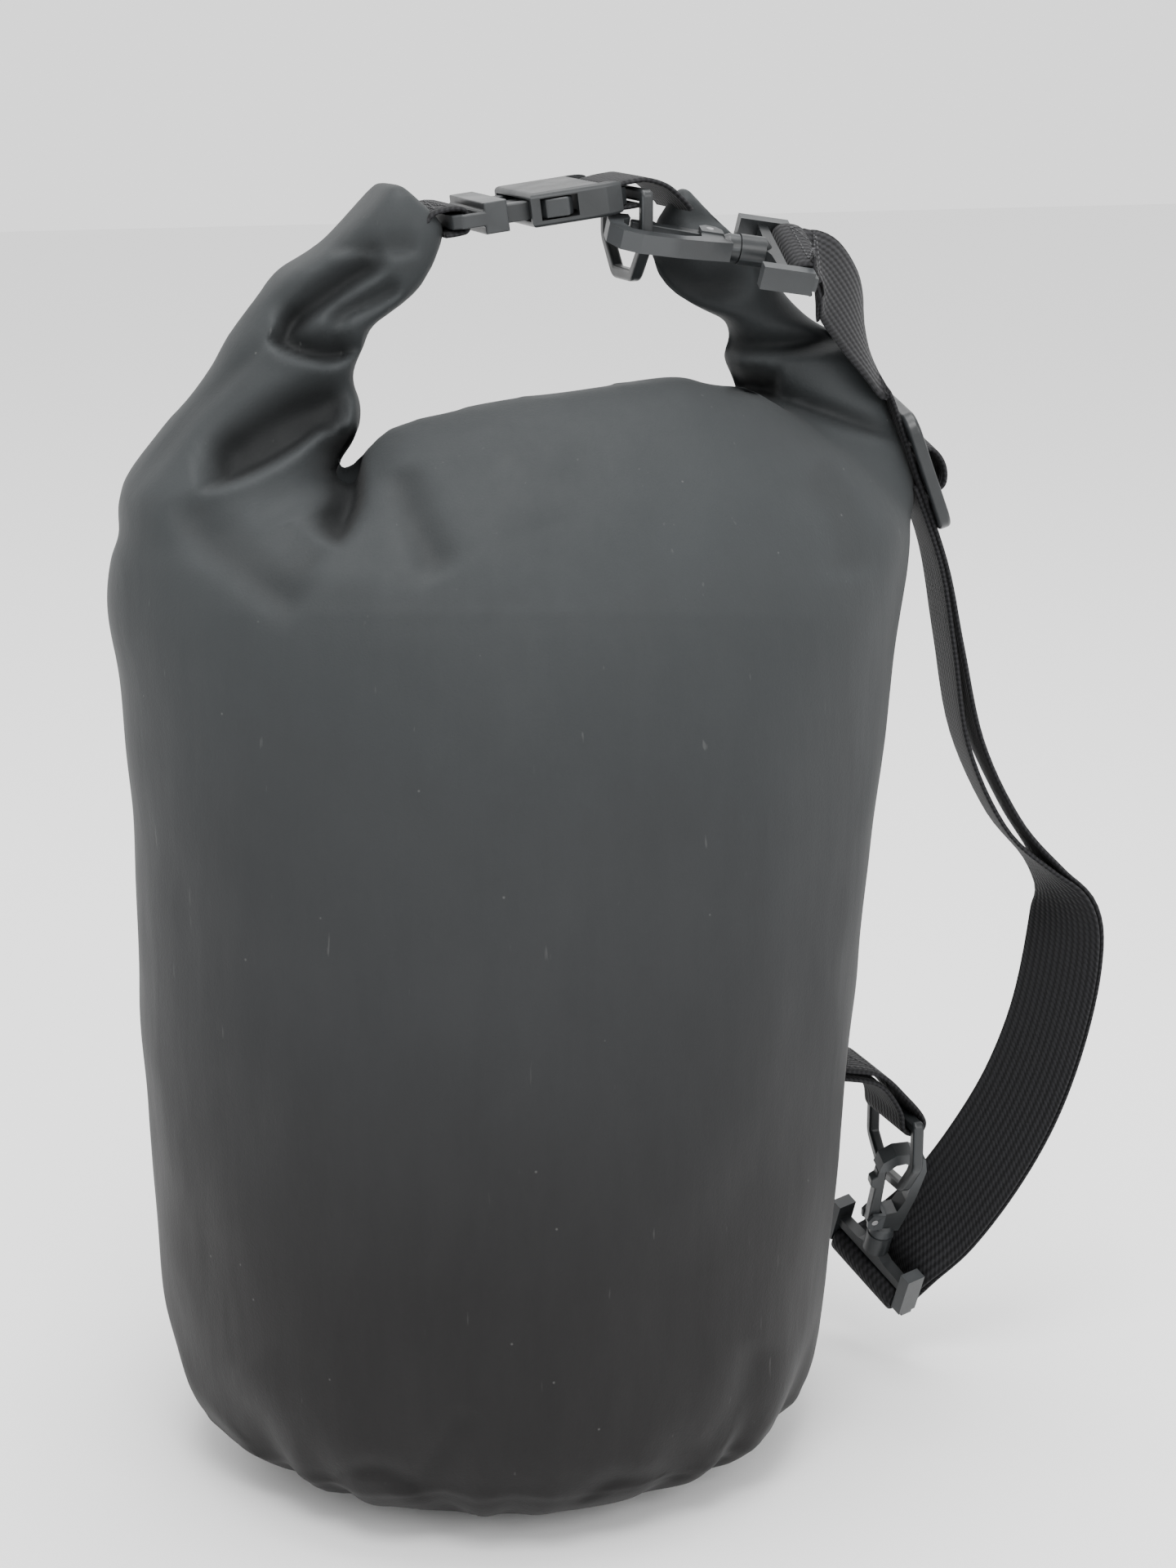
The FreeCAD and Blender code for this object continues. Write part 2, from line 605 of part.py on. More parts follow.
def make_hook(name, place):
    body = new_body(name + "_body", place)
    profile = [("size.collar_start + 1 + size.pin_gap", 0),
               ("size.collar_start + 1 + size.pin_gap", "size.pin_head_radius"),
               ("size.collar_end - 4 - size.pin_gap", "size.pin_head_radius"),
               ("size.collar_end - 4 - size.pin_gap", "size.pin_radius"),
               ("size.collar_end + size.pin_gap", "size.pin_radius"),
               ("size.collar_end + size.pin_gap", "size.collar_radius - 0.4"),
               (23, "size.collar_radius - 0.4"), (25, 4), (25, 0)]
    turned(body, name + "_stem", [profile])
    outline = [(22.5, -5.6), (30, -7.2), (42, -9.2), (56, -10.2), (62.8, -8.2), (66.8, -2),
               (66.6, 5), (63, 9.8), (58.0, 10.6), (57.9, 6.6), (60.8, 3.8), (61.4, 0),
               (59.4, -4.4), (54.8, -5.6), (40, -4.8), (33.6, -2.6), (32.6, 3.2), (22.5, 3.2)]
    pad(body, name + "_arm", "XY_Plane", [outline], "size.hook_thickness")
    cheeks = [(24.6, 2), (32.8, 2), (32.8, 7.4), (30, 9.2), (26.4, 8.6), (24.6, 6)]
    pad(body, name + "_cheeks", "XY_Plane", [cheeks], "size.cheek_thickness")
    between = [(23.4, 3.2), (34, 3.2), (34, 12), (23.4, 12)]
    pocket(body, name + "_gate_slot", "XY_Plane", [between], "size.gate_thickness + 0.6")
    gate_axis = (29, 6)
    pocket(body, name + "_pin_hole", "XY_Plane", [(*gate_axis, "size.gate_pin_radius")],
           "size.cheek_thickness * 2")
    finished[name + "_body"] = body

    pin = new_body(name + "_gate_pin", place)
    pad(pin, name + "_pin_rod", "XY_Plane", [(*gate_axis, "size.gate_pin_radius")],
        "size.cheek_thickness")
    finished[name + "_gate_pin"] = pin

    gate = new_body(name + "_gate", place)
    outline = [(26.4, 3.8), (25.4, 6), (26.6, 8.2), (32, 8.6), (47, 9.4), (48.6, 11.6),
               (52.4, 12), (54, 10.2), (57.1, 10.2), (57.2, 6.4), (40, 4.8), (33, 4)]
    pad(gate, name + "_gate_bar", "XY_Plane", [outline], "size.gate_thickness")
    pocket(gate, name + "_gate_hole", "XY_Plane",
           [(*gate_axis, "size.gate_pin_radius + size.gate_pin_gap")], "size.gate_thickness * 2")
    finished[name + "_gate"] = gate


# ---- slider: local X along the strap, local Y across it, local Z away from the bag ---------------

def make_slider():
    body = new_body("strap_slider", SLIDER_PLACE)
    plate = rectangle("size.slider_length / 2", "size.slider_width / 2")
    pad(body, "slider_plate", "XY_Plane", [plate], "size.slider_thickness")
    round_edges(body, "slider_corners", "size.slider_corner", is_along(Vector(0, 0, 1)))
    half_slot = "size.slider_slot_width / 2"
    for number, sign in enumerate((-1, 1)):
        near = "%d * size.slider_bar / 2" % sign
        far = "%d * (size.slider_bar / 2 + size.slider_slot)" % sign
        slot = [(near, "-(%s)" % half_slot), (far, "-(%s)" % half_slot), (far, half_slot),
                (near, half_slot)]
        pocket(body, "slider_slot%d" % number, "XY_Plane", [slot], "size.slider_thickness * 2")
    thick = value("slider_thickness") / 2
    round_edges(body, "slider_edges", "size.slider_edge", is_rim(Vector(0, 0, 1), thick))
    finished["strap_slider"] = body

    hump = new_body("slider_web_hump", SLIDER_PLACE)
    line = [(-8.4, -2), (-7, 4.6), (0, 7), (7, 4.6), (8.4, -2)]
    pad(hump, "hump_band", "XZ_Plane", [band(line, value("web_thickness") / 2)],
        "size.web_width")
    finished["slider_web_hump"] = hump


# ---- shoulder strap: one length of webbing, looped round both hook bars --------------------------

def strap_stations():
    """Middle points and width directions of the webbing, from its sewn end round to the slider."""
    slider = placement(SLIDER_PLACE)
    under = -(value("slider_thickness") / 2 + value("slider_gap") + value("web_thickness") / 2)
    width_there = slider.Rotation.multVec(Vector(0, -1, 0))
    straight = [
        (slider.multVec(Vector(along, 0, under)), width_there)
        for along in (-STRAIGHT_REACH, STRAIGHT_REACH)
    ]
    top = [(Vector(*point), Vector(*width)) for point, width in STRAP_TOP]
    loose = [(Vector(*point), Vector(*width)) for point, width in STRAP_LOOSE]
    main = top + straight + loose

    def wrap(place, corners):
        base = placement(place)
        across = Vector(*place[2])
        return [(base.multVec(Vector(x, 0, z)), across) for x, z in corners]

    def beside(stations, line, gaps):
        """The stations moved towards the bag, square to the webbing, by the gaps."""
        moved = []
        for (point, width), gap in zip(stations, gaps):
            spot = [place for place, across in line].index(point)
            before = line[max(spot - 1, 0)][0]
            after = line[min(spot + 1, len(line) - 1)][0]
            inwards = (after - before).cross(width).normalize()
            moved.append((point + inwards * gap, width))
        return moved

    sewn = beside(top[:2], main, [SEWN_OFFSET, SEWN_OFFSET])
    inner_gaps = [SEWN_OFFSET] + LAYER_GAP
    inner = beside([straight[1]] + loose, main, inner_gaps)
    inner_end = slider.multVec(Vector(4, 0, under - SEWN_OFFSET))
    back = inner[::-1] + [(inner_end, width_there)]
    return (sewn[::-1] + wrap(UPPER_BASE_PLACE, UPPER_WRAP) + main
            + wrap(LOWER_BASE_PLACE, LOWER_WRAP) + back)


def make_strap():
    stations = strap_stations()
    half_width = value("web_width") / 2
    half_thick = value("web_thickness") / 2
    outlines = []
    length = 0
    for number, (point, width) in enumerate(stations):
        before = stations[max(number - 1, 0)][0]
        after = stations[min(number + 1, len(stations) - 1)][0]
        run = (after - before).normalize()
        across = (width - run * width.dot(run)).normalize()
        normal = run.cross(across)
        corners = [
            point + across * (half_width * side) + normal * (half_thick * face)
            for side, face in ((-1, -1), (1, -1), (1, 1), (-1, 1))
        ]
        outlines.append(Part.makePolygon(corners + corners[:1]))
        if number:
            length += point.distanceToPoint(before)
    webbing = document.addObject("Part::Feature", "strap_webbing")
    webbing.Shape = Part.makeLoft(outlines, True, True)
    finished["strap_webbing"] = webbing
    print("strap webbing length %.0f mm in %d spans" % (length, len(stations) - 1))


def check_and_export():
    document.recompute()
    for item in document.Objects:
        if "Invalid" in item.State or "Error" in item.State:
            raise RuntimeError("%s is %s" % (item.Name, item.State))
    os.makedirs("parts", exist_ok=True)
    for name, item in finished.items():
        item.Label = name
        shape = item.Shape
        if shape.isNull() or not shape.isValid() or shape.Volume <= 0:
            raise RuntimeError(name + " has a bad shape")
        shape.exportStep("parts/%s.step" % name)
        print("%-20s %9.1f mm3, %d solid" % (name, shape.Volume, len(shape.Solids)))


make_roll()
make_buckle()
make_buckle_webs()
make_ring("upper_d_ring", UPPER_RING_PLACE)
make_ring("lower_d_ring", LOWER_RING_PLACE)
make_ring_tab()
make_hook_base("upper_hook_base", UPPER_BASE_PLACE)
make_hook_base("lower_hook_base", LOWER_BASE_PLACE)
make_hook("upper_hook", UPPER_HOOK_PLACE)
make_hook("lower_hook", LOWER_HOOK_PLACE)
make_slider()
make_strap()
make_tab_patch(make_bag())
check_and_export()
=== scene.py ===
"""Looks of a stuffed roll-top bag with a shoulder strap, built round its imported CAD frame."""

import json
import math

import bmesh
import bpy
import numpy as np
from mathutils import Matrix, Vector, noise
from mathutils.bvhtree import BVHTree


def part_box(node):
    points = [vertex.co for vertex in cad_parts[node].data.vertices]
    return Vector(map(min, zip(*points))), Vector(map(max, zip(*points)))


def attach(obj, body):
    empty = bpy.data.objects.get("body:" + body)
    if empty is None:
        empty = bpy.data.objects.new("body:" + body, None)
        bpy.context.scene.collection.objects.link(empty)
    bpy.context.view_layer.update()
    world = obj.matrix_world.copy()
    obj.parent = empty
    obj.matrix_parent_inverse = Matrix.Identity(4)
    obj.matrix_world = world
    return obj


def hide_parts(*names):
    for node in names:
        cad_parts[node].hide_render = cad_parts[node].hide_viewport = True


MM = 0.001
WEB_WIDTH = 38.0
WEB_THICKNESS = 1.7

# Steps from one listed row to the next, on the bag, on the roll, on webbing and on a fold line.
BAG_STEPS = 4
ROLL_STEPS = 5
WEB_STEPS = 6
FOLD_STEPS = 6
# Points round a level cut of the bag and round the roll.
RING_POINTS = 96
ROLL_POINTS = 48

# ---- shapes, in millimetres in the row frame --------------------------------------------------

# Stuffed tube: height, half width, half depth, middle x, middle y.
BODY_SECTIONS = [
    (0.6, 60, 60, 0, 0),
    (2, 74, 74, 0, 0),
    (8, 92, 92, 0, 0),
    (20, 112, 110, -1, 0),
    (44, 123, 121, -2, 0),
    (80, 127, 123, -2.5, 0),
    (120, 130, 123, -2, 0),
    (170, 133, 122, -0.5, 0),
    (220, 136, 120, 1, 0),
    (262, 139.5, 117, 3, 0),
    (300, 143, 111, 5, 0),
    (330, 148, 102, 6, -1),
    (352, 147, 90, 8, -2),
    (372, 138, 72, 9, -7),
    (388, 122, 50, 10, -15),
    (398, 98, 30, 13, -24),
    (404, 72, 14, 17, -29),
    (406, 40, 5, 18, -31),
]
# Top of the front panel between the arms: x, height it is cut down to.
RIDGE = [(-150, 372), (-72, 374), (-62, 378), (-57, 383), (-53, 389.5), (-47, 393.5), (-12, 399.7),
         (24, 404.6), (57, 406.2), (73, 402.8), (82, 404), (96, 398), (150, 376)]

# Arms of the carry loop, cut level: height, inner x, outer x, half depth, middle y.
LEFT_ARM = [
    (320, -20, -128, 62, 0),
    (345, -34, -135, 52, 0),
    (360, -56, -137, 44, 0),
    (371, -63, -135, 38, 0),
    (380, -60.5, -129, 34, 0),
    (386, -55, -124, 32, 0),
    (394, -52.5, -117, 30, 0),
    (399, -52.5, -112, 28, 0),
    (406, -55.5, -106, 26, 0),
    (413, -53, -101, 24, 0),
    (419, -49, -98, 23, 0),
    (424, -48.5, -94.5, 22, 0),
    (429, -39.5, -91, 21, 0),
    (436, -30.5, -85.5, 20.5, 0),
    (444, -26.5, -79, 20.5, 0),
    (452, -23.5, -65.5, 20.5, 0),
    (459, -22.5, -56.5, 20.5, 0),
    (463, -26, -52, 20, 0),
    (469, -33, -45.5, 19, 0),
    (474.5, -38.5, -40.5, 15, 0),
]
RIGHT_ARM = [
    (325, 20, 146, 60, 2),
    (347, 40, 157, 48, 2),
    (360, 70, 160, 40, 2),
    (372, 86, 156, 34, 2),
    (384, 92, 151, 30, 2),
    (393, 93, 148, 27, 2),
    (400, 90.5, 144.5, 25, 2),
    (406, 87, 141.5, 24, 1),
    (411, 87, 137.5, 22, 1),
    (416, 90, 130, 20, 1),
    (421, 87.5, 120, 17, 1),
    (426, 77, 114.5, 14, 1),
    (434, 64, 107, 11, 1),
    (443, 58.5, 99.5, 9, 0),
    (452, 57, 90.5, 9, 0),
    (460, 60.5, 81, 8, 0),
    (467, 65.5, 74, 7, 0),
    (472, 68.5, 70, 5, 0),
]
# The roll between the arms, behind the front panel's top: x, middle height, half height,
# half depth.
ROLL = [
    (-120, 366, 14, 17),
    (-90, 362, 16, 20),
    (-68, 355, 15, 20.5),
    (-48, 357, 17, 20.5),
    (-20, 363, 18, 20.5),
    (30, 369, 18, 20.5),
    (90, 372, 17, 20),
    (124, 372, 14, 17),
]
# Trough between front and back panel, in which the roll lies: x, floor height, half depth.
TROUGH = [(-150, 366, 25), (-60, 360, 27), (60, 360, 27), (150, 366, 25)]
TROUGH_TOP = 430
TROUGH_FLOOR_SHARE = 0.8

# From this height upwards the tube's top is lowered to the ridge, and further at the back.
CUT_START = 350
TUBE_TOP = 406
BACK_DROP = 24.0
BACK_DROP_FROM, BACK_DROP_TO = -6, 22

# Power of the arms' superellipses, and how much squarer they get between two heights.
ARM_POWER = 2.3
ARM_SQUARING = 1.7
ARM_SQUARE_FROM, ARM_SQUARE_TO = 432, 450

VOXEL = 3.4


def smooth_rows(rows, steps):
    """The rows with more rows drawn between them on a smooth curve."""
    rows = np.array(rows, float)
    made = []
    for index in range(len(rows) - 1):
        first = rows[max(index - 1, 0)]
        a, b = rows[index], rows[index + 1]
        last = rows[min(index + 2, len(rows) - 1)]
        for t in np.arange(steps) / steps:
            made.append(0.5 * (2 * a + (b - first) * t + (2 * first - 5 * a + 4 * b - last) * t * t
                               + (3 * a - first - 3 * b + last) * t ** 3))
    made.append(rows[-1])
    return np.array(made)


def new_object(name, points, faces):
    """A mesh object in the scene, from points in metres."""
    mesh = bpy.data.meshes.new(name)
    mesh.from_pydata([tuple(p) for p in points], [], faces)
    mesh.update()
    made = bpy.data.objects.new(name, mesh)
    bpy.context.scene.collection.objects.link(made)
    return made


def skin(name, rings):
    """Closed mesh through rings of equally many points, in millimetres."""
    count = len(rings[0])
    points = [np.array(p) * MM for ring in rings for p in ring]
    faces = []
    for level in range(len(rings) - 1):
        for step in range(count):
            following = (step + 1) % count
            low, high = level * count, (level + 1) * count
            faces.append((low + step, low + following, high + following, high + step))
    faces.append(tuple(range(count))[::-1])
    faces.append(tuple(range(len(points) - count, len(points))))
    made = new_object(name, points, faces)
    recalculate(made)
    return made


def recalculate(made):
    """Turn all faces outwards."""
    work = bmesh.new()
    work.from_mesh(made.data)
    bmesh.ops.recalc_face_normals(work, faces=work.faces)
    work.to_mesh(made.data)
    work.free()


def level_ring(height, half_x, half_y, middle_x, middle_y, power=2.0):
    """Superellipse at one height."""
    angles = np.arange(RING_POINTS) / RING_POINTS * math.tau
    across, deep = np.cos(angles), np.sin(angles)
    across = np.sign(across) * np.abs(across) ** (2 / power)
    deep = np.sign(deep) * np.abs(deep) ** (2 / power)
    return [(middle_x + half_x * a, middle_y + half_y * d, height) for a, d in zip(across, deep)]


def apply_modifier(made, kind, **settings):
    """Replace a mesh by what one modifier makes of it."""
    modifier = made.modifiers.new(kind.title(), kind)
    for key, setting in settings.items():
        setattr(modifier, key, setting)
    graph = bpy.context.evaluated_depsgraph_get()
    result = bpy.data.meshes.new_from_object(made.evaluated_get(graph))
    made.modifiers.clear()
    made.data = result


def coordinates(made):
    """Places of a mesh's vertices, in metres."""
    flat = np.empty(len(made.data.vertices) * 3)
    made.data.vertices.foreach_get("co", flat)
    return flat.reshape(-1, 3)


def normals(made):
    """Outward directions of a mesh's vertices."""
    flat = np.empty(len(made.data.vertices) * 3)
    made.data.vertices.foreach_get("normal", flat)
    return flat.reshape(-1, 3)


def set_coordinates(made, points):
    """Move a mesh's vertices to points in metres."""
    made.data.vertices.foreach_set("co", np.asarray(points).ravel())
    made.data.update()


def shade_smooth(made):
    """Shade all faces smooth."""
    made.data.polygons.foreach_set("use_smooth", [True] * len(made.data.polygons))


def step_between(value, low, high):
    """0 below low, 1 above high, smooth between."""
    t = np.clip((value - low) / (high - low), 0, 1)
    return t * t * (3 - 2 * t)


# ---- bag fabric ------------------------------------------------------------------------------

# The points that the folds on the front and back are seen from, and the upright planes that
# they are drawn on.
FRONT_EYE = np.array([-329.4, -1117.3, 545.3])
FRONT_PLANE = -20.0
BACK_EYE = np.array([0.0, 1200.0, 500.0])
BACK_PLANE = 20.0
# A fold fades in between these: how squarely the fabric faces the eye, and how far it lies
# from the bag's middle on the eye's side.
FACING_FROM, FACING_TO = 0.02, 0.4
REACH_FROM, REACH_TO = -14, -2
# Place and width of the raised lip, in widths of the fold's right slope.
LIP_DISTANCE = 2.2
LIP_WIDTH = 1.6
# Fold depth that is shaded darkest.
DARKEST_DEPTH = 10

# Folds as (x, z) on the drawing plane: points, depth, width of the slope to the left of the
# line's direction, width to its right, and how far its right lip stands out.
FRONT_FOLDS = [
    # left arm
    ([(-67, 452.6), (-57, 452.9), (-44.5, 451.7), (-33, 452)], 3.0, 7, 1.8, 0.6),
    ([(-84, 424.8), (-75, 430.9), (-65, 438), (-54.7, 444.2), (-44.5, 449.2)], 9.5, 6.5, 3.2, 0.8),
    ([(-67.6, 427.4), (-57, 432.6), (-48.8, 436.2), (-40, 440.7)], 6.5, 4, 3, 0.6),
    ([(-88, 424.5), (-81.2, 420.3), (-74, 417.3), (-65, 416.1), (-54, 420)], 11.0, 8.5, 2.0, 0.8),
    ([(-107.6, 379.3), (-96.6, 388.4), (-83.5, 395.7), (-69, 400.8), (-57, 402)], 7.0, 9, 7, 0),
    ([(-114, 372.5), (-101.2, 376.5), (-90.2, 380.8), (-80, 386.3), (-69.8, 392.3), (-60, 390.5)],
     11.0, 11, 2.0, 0.8),
    ([(-59.5, 392), (-58, 378), (-59, 364), (-67, 350)], 20.0, 2.6, 9.5, 0),
    ([(-43.5, 377.5), (-36.4, 357), (-27.5, 336)], 4.0, 9, 7, 0),
    ([(-82, 360), (-79, 352), (-72, 343)], 2.2, 8, 8, 0),
    ([(-117.5, 372.5), (-109.7, 356), (-91.2, 339.8), (-75.2, 328)], 4.4, 12, 8, 0),
    ([(-22, 398), (2, 380), (10, 352)], -1.4, 14, 12, 0),
    ([(110, 372), (126, 352), (130, 326)], 2.6, 10, 12, 0),
    ([(-138, 371), (-114, 399), (-104, 408), (-86, 425)], 2.4, 3.5, 3, 0),
    # right arm
    ([(52, 458.5), (65, 459.2), (80, 458.8)], 2.2, 5, 2.0, 0.6),
    ([(50, 448), (64, 438), (72, 436), (90, 438)], 7.0, 7, 6, 0),
    ([(74, 415), (95, 414.2), (114, 414.7), (128, 417.5)], 8.0, 5, 3, 0.6),
    ([(78, 402), (90, 400.3), (100, 399)], 9.0, 5, 4, 0.5),
    ([(84, 401), (100, 395.5), (123, 387), (149, 377.5)], 6.5, 5, 2.0, 0.8),
    # puckers above the base seam
    ([(-134.7, 78), (-126, 48), (-109, 24.5), (-92.5, 7)], 4.4, 8, 5, 0.8),
    ([(-120, 105), (-116, 72), (-105, 45)], 2.6, 10, 8, 0),
    ([(-80, -4), (-63, -0.5), (-50.4, -4.3), (-36, -18)], 3.2, 4, 3.4, 0.6),
    ([(18, -28), (35.4, -21.3), (50.4, -21.5), (76, -20.5)], 3.4, 4, 3, 0.6),
    ([(97, 31), (89, 4.5), (74, -17.5)], 3.6, 8, 6, 0.5),
    ([(-20, 20), (-30, 2), (-44, -12)], 2.4, 7, 6, 0),
    # fold line of the empty bag, round its upper part
    ([(-146, 331), (-60, 326), (10, 322), (80, 317), (150, 312)], -0.22, 2.4, 2.4, 0),
]
BACK_FOLDS = [
    # left arm
    ([(-62, 446), (-46, 451), (-28, 449)], 3.5, 6, 3, 0.5),
    ([(-96, 417), (-76, 427), (-58, 431), (-42, 438)], 6.0, 6, 3, 0.6),
    ([(-114, 390), (-88, 402), (-58, 405)], 6.5, 8, 3, 0.6),
    ([(-120, 366), (-96, 381), (-70, 386), (-58, 378)], 7.0, 8, 3, 0.6),
    # right arm
    ([(60, 450), (72, 446), (92, 446)], 3.0, 5, 3, 0.5),
    ([(64, 436), (84, 432), (110, 428)], 5.0, 5, 3, 0.6),
    ([(88, 413), (112, 409), (140, 402)], 6.0, 6, 3, 0.6),
    ([(92, 396), (112, 386), (144, 378)], 6.0, 6, 3, 0.6),
    # back panel
    ([(-44, 374), (-34, 352), (-38, 326)], 2.6, 9, 9, 0),
    ([(66, 374), (54, 350), (60, 326)], 2.6, 9, 9, 0),
    ([(-100, 360), (-84, 340), (-60, 326)], 2.4, 10, 8, 0),
    ([(-126, 76), (-116, 46), (-98, 22)], 2.6, 8, 5, 0.4),
    ([(120, 84), (112, 50), (90, 20)], 2.6, 5, 8, 0),
    ([(-150, 325), (0, 321), (150, 317)], -0.22, 2.4, 2.4, 0),
]
# Gathers of the base seam: direction round the bag in degrees, width in degrees, depth.
GATHERS = [(-152, 5, 3.4), (-140, 4, 3.0), (-118, 5, 3.2), (-106, 4, 2.2), (-74, 5, 2.4),
           (-60, 4, 3.0), (-38, 5, 2.6), (-20, 4, 2.4), (10, 5, 2.6), (36, 4, 2.8), (62, 5, 2.4),
           (95, 4, 3.0), (122, 5, 2.6), (150, 4, 2.6), (172, 5, 2.8)]
# Share of a gather's depth by which the cloth beside it stands out.
GATHER_BULGE = 0.5
# Bead of the base seam: height, how much it wanders, how far it stands out, half width.
SEAM_HEIGHT = 24
SEAM_WANDER = 3
SEAM_BEAD = 0.9
SEAM_WIDTH = 1.8
# Height of the full bag's soft waves, and the lowest that its fabric goes.
UNEVENNESS = 1.7
LOWEST = 0.2

# Welded patch: mesh, where its rays start, how far it stands out, how deep its edge and its
# back sink, and the bead of the weld.
PATCH_COLUMNS = 28
PATCH_ROWS = 44
PATCH_RAYS_FROM = 0.3
PATCH_RISE = 1.1
PATCH_EDGE_DROP = 1.6
PATCH_BACK = -1.6
PATCH_BEAD = 0.35
PATCH_BEAD_PLACE = 0.87
PATCH_BEAD_WIDTH = 0.03


def build_bag():
    """Closed shell of the stuffed bag: tube, rolled mouth and both arms in one skin."""
    tube = skin("bag_fabric", [level_ring(*row) for row in smooth_rows(BODY_SECTIONS, BAG_STEPS)])
    points = coordinates(tube) / MM
    ridge = np.interp(points[:, 0], *np.array(RIDGE).T)
    ridge -= BACK_DROP * step_between(points[:, 1], BACK_DROP_FROM, BACK_DROP_TO)
    above = np.maximum(points[:, 2] - CUT_START, 0) / (TUBE_TOP - CUT_START)
    points[:, 2] -= above * (TUBE_TOP - ridge)
    set_coordinates(tube, points * MM)
    trough = skin("trough", [
        [(x, half, TROUGH_TOP), (x, half * TROUGH_FLOOR_SHARE, floor),
         (x, -half * TROUGH_FLOOR_SHARE, floor), (x, -half, TROUGH_TOP)]
        for x, floor, half in smooth_rows(TROUGH, BAG_STEPS)])
    apply_modifier(tube, "BOOLEAN", operation="DIFFERENCE", object=trough)
    bpy.data.objects.remove(trough)
    parts = []
    for name, rows in (("left", LEFT_ARM), ("right", RIGHT_ARM)):
        rings = [
            level_ring(height, abs(outer - inner) / 2, half, (inner + outer) / 2, middle,
                       ARM_POWER
                       + ARM_SQUARING * step_between(height, ARM_SQUARE_FROM, ARM_SQUARE_TO))
            for height, inner, outer, half, middle in smooth_rows(rows, BAG_STEPS)
        ]
        parts.append(skin(name, rings))
    angles = np.arange(ROLL_POINTS) / ROLL_POINTS * math.tau
    parts.append(skin("roll", [
        [(x, half * math.cos(a), height + rise * math.sin(a)) for a in angles]
        for x, height, rise, half in smooth_rows(ROLL, ROLL_STEPS)]))
    work = bmesh.new()
    for part in [tube] + parts:
        work.from_mesh(part.data)
    work.to_mesh(tube.data)
    work.free()
    for part in parts:
        bpy.data.objects.remove(part)
    apply_modifier(tube, "REMESH", mode="VOXEL", voxel_size=VOXEL * MM)
    apply_modifier(tube, "SMOOTH", factor=0.5, iterations=5)
    return tube


def drawn(points, eye, plane):
    """Where each point is seen from the eye on the drawing plane, in millimetres."""
    sight = points - eye
    reach = (plane - eye[1]) / sight[:, 1]
    seen = eye + sight * reach[:, None]
    return seen[:, [0, 2]]


def beside_line(spots, line):
    """Signed distance from a drawn line, positive to its left, and place along it from 0 to 1."""
    line = smooth_rows(line, FOLD_STEPS)
    best = np.full(len(spots), 1e9)
    side = np.zeros(len(spots))
    place = np.zeros(len(spots))
    for index in range(len(line) - 1):
        run = line[index + 1] - line[index]
        away = spots - line[index]
        along = np.clip(away @ run / (run @ run), 0, 1)
        gap = np.linalg.norm(away - along[:, None] * run, axis=1)
        nearer = gap < best
        best[nearer] = gap[nearer]
        side[nearer] = np.sign(run[0] * away[nearer, 1] - run[1] * away[nearer, 0])
        place[nearer] = (index + along[nearer]) / (len(line) - 1)
    return best * side, place


def press_folds(bag):
    """Press the drawn folds into the fabric's front and back, along the line of sight."""
    points = coordinates(bag) / MM
    moved = points.copy()
    outwards = normals(bag)
    deepest = np.zeros(len(points))
    for eye, plane, folds in ((FRONT_EYE, FRONT_PLANE, FRONT_FOLDS),
                              (BACK_EYE, BACK_PLANE, BACK_FOLDS)):
        sight = points - eye
        sight /= np.linalg.norm(sight, axis=1)[:, None]
        facing = step_between(-np.sum(outwards * sight, axis=1), FACING_FROM, FACING_TO)
        nearer = facing * step_between(points[:, 1] * np.sign(eye[1]), REACH_FROM, REACH_TO)
        spots = drawn(points, eye, plane)
        inwards = np.zeros(len(points))
        for line, depth, left_width, right_width, lip in folds:
            gap, place = beside_line(spots, line)
            fade = step_between(place, -0.02, 0.22) * step_between(-place, -1.02, -0.78)
            width = np.where(gap > 0, left_width, right_width)
            inwards += depth * fade * np.exp(-(gap / width) ** 2)
            if lip:
                from_lip = gap / right_width + LIP_DISTANCE
                inwards -= lip * fade * np.exp(-(from_lip / LIP_WIDTH) ** 2)
        inwards *= nearer
        moved += sight * inwards[:, None]
        deepest = np.maximum(deepest, inwards)
    set_coordinates(bag, moved * MM)
    shade = bag.data.attributes.new("fold_shade", "FLOAT", "POINT")
    shade.data.foreach_set("value", np.clip(deepest / DARKEST_DEPTH, 0, 1).astype(np.float32))


def gather_base(bag):
    """Seam bead and gathers round the base, and the soft unevenness of a full bag."""
    points = coordinates(bag) / MM
    outwards = normals(bag)
    turn = np.degrees(np.arctan2(points[:, 1], points[:, 0]))
    height = points[:, 2]
    seam = SEAM_HEIGHT + SEAM_WANDER * np.sin(np.radians(turn * 3 + 40))
    push = SEAM_BEAD * np.exp(-((height - seam) / SEAM_WIDTH) ** 2)
    for direction, width, depth in GATHERS:
        around = (turn - direction + 180) % 360 - 180
        spread = width * (0.6 + np.clip(height, 0, 70) / 60)
        tall = step_between(height, 4, 16) * step_between(-height, -66, -26)
        push -= depth * tall * np.exp(-(around / spread) ** 2)
        push += GATHER_BULGE * depth * tall * np.exp(-((around - 1.9 * spread) / spread) ** 2)
    waves = np.array([noise.noise(Vector(p) / 70) + 0.5 * noise.noise(Vector(p) / 32)
                      for p in points])
    push += UNEVENNESS * waves * step_between(height, 10, 60)
    points += outwards * push[:, None]
    points[:, 2] = np.maximum(points[:, 2], LOWEST)
    set_coordinates(bag, points * MM)


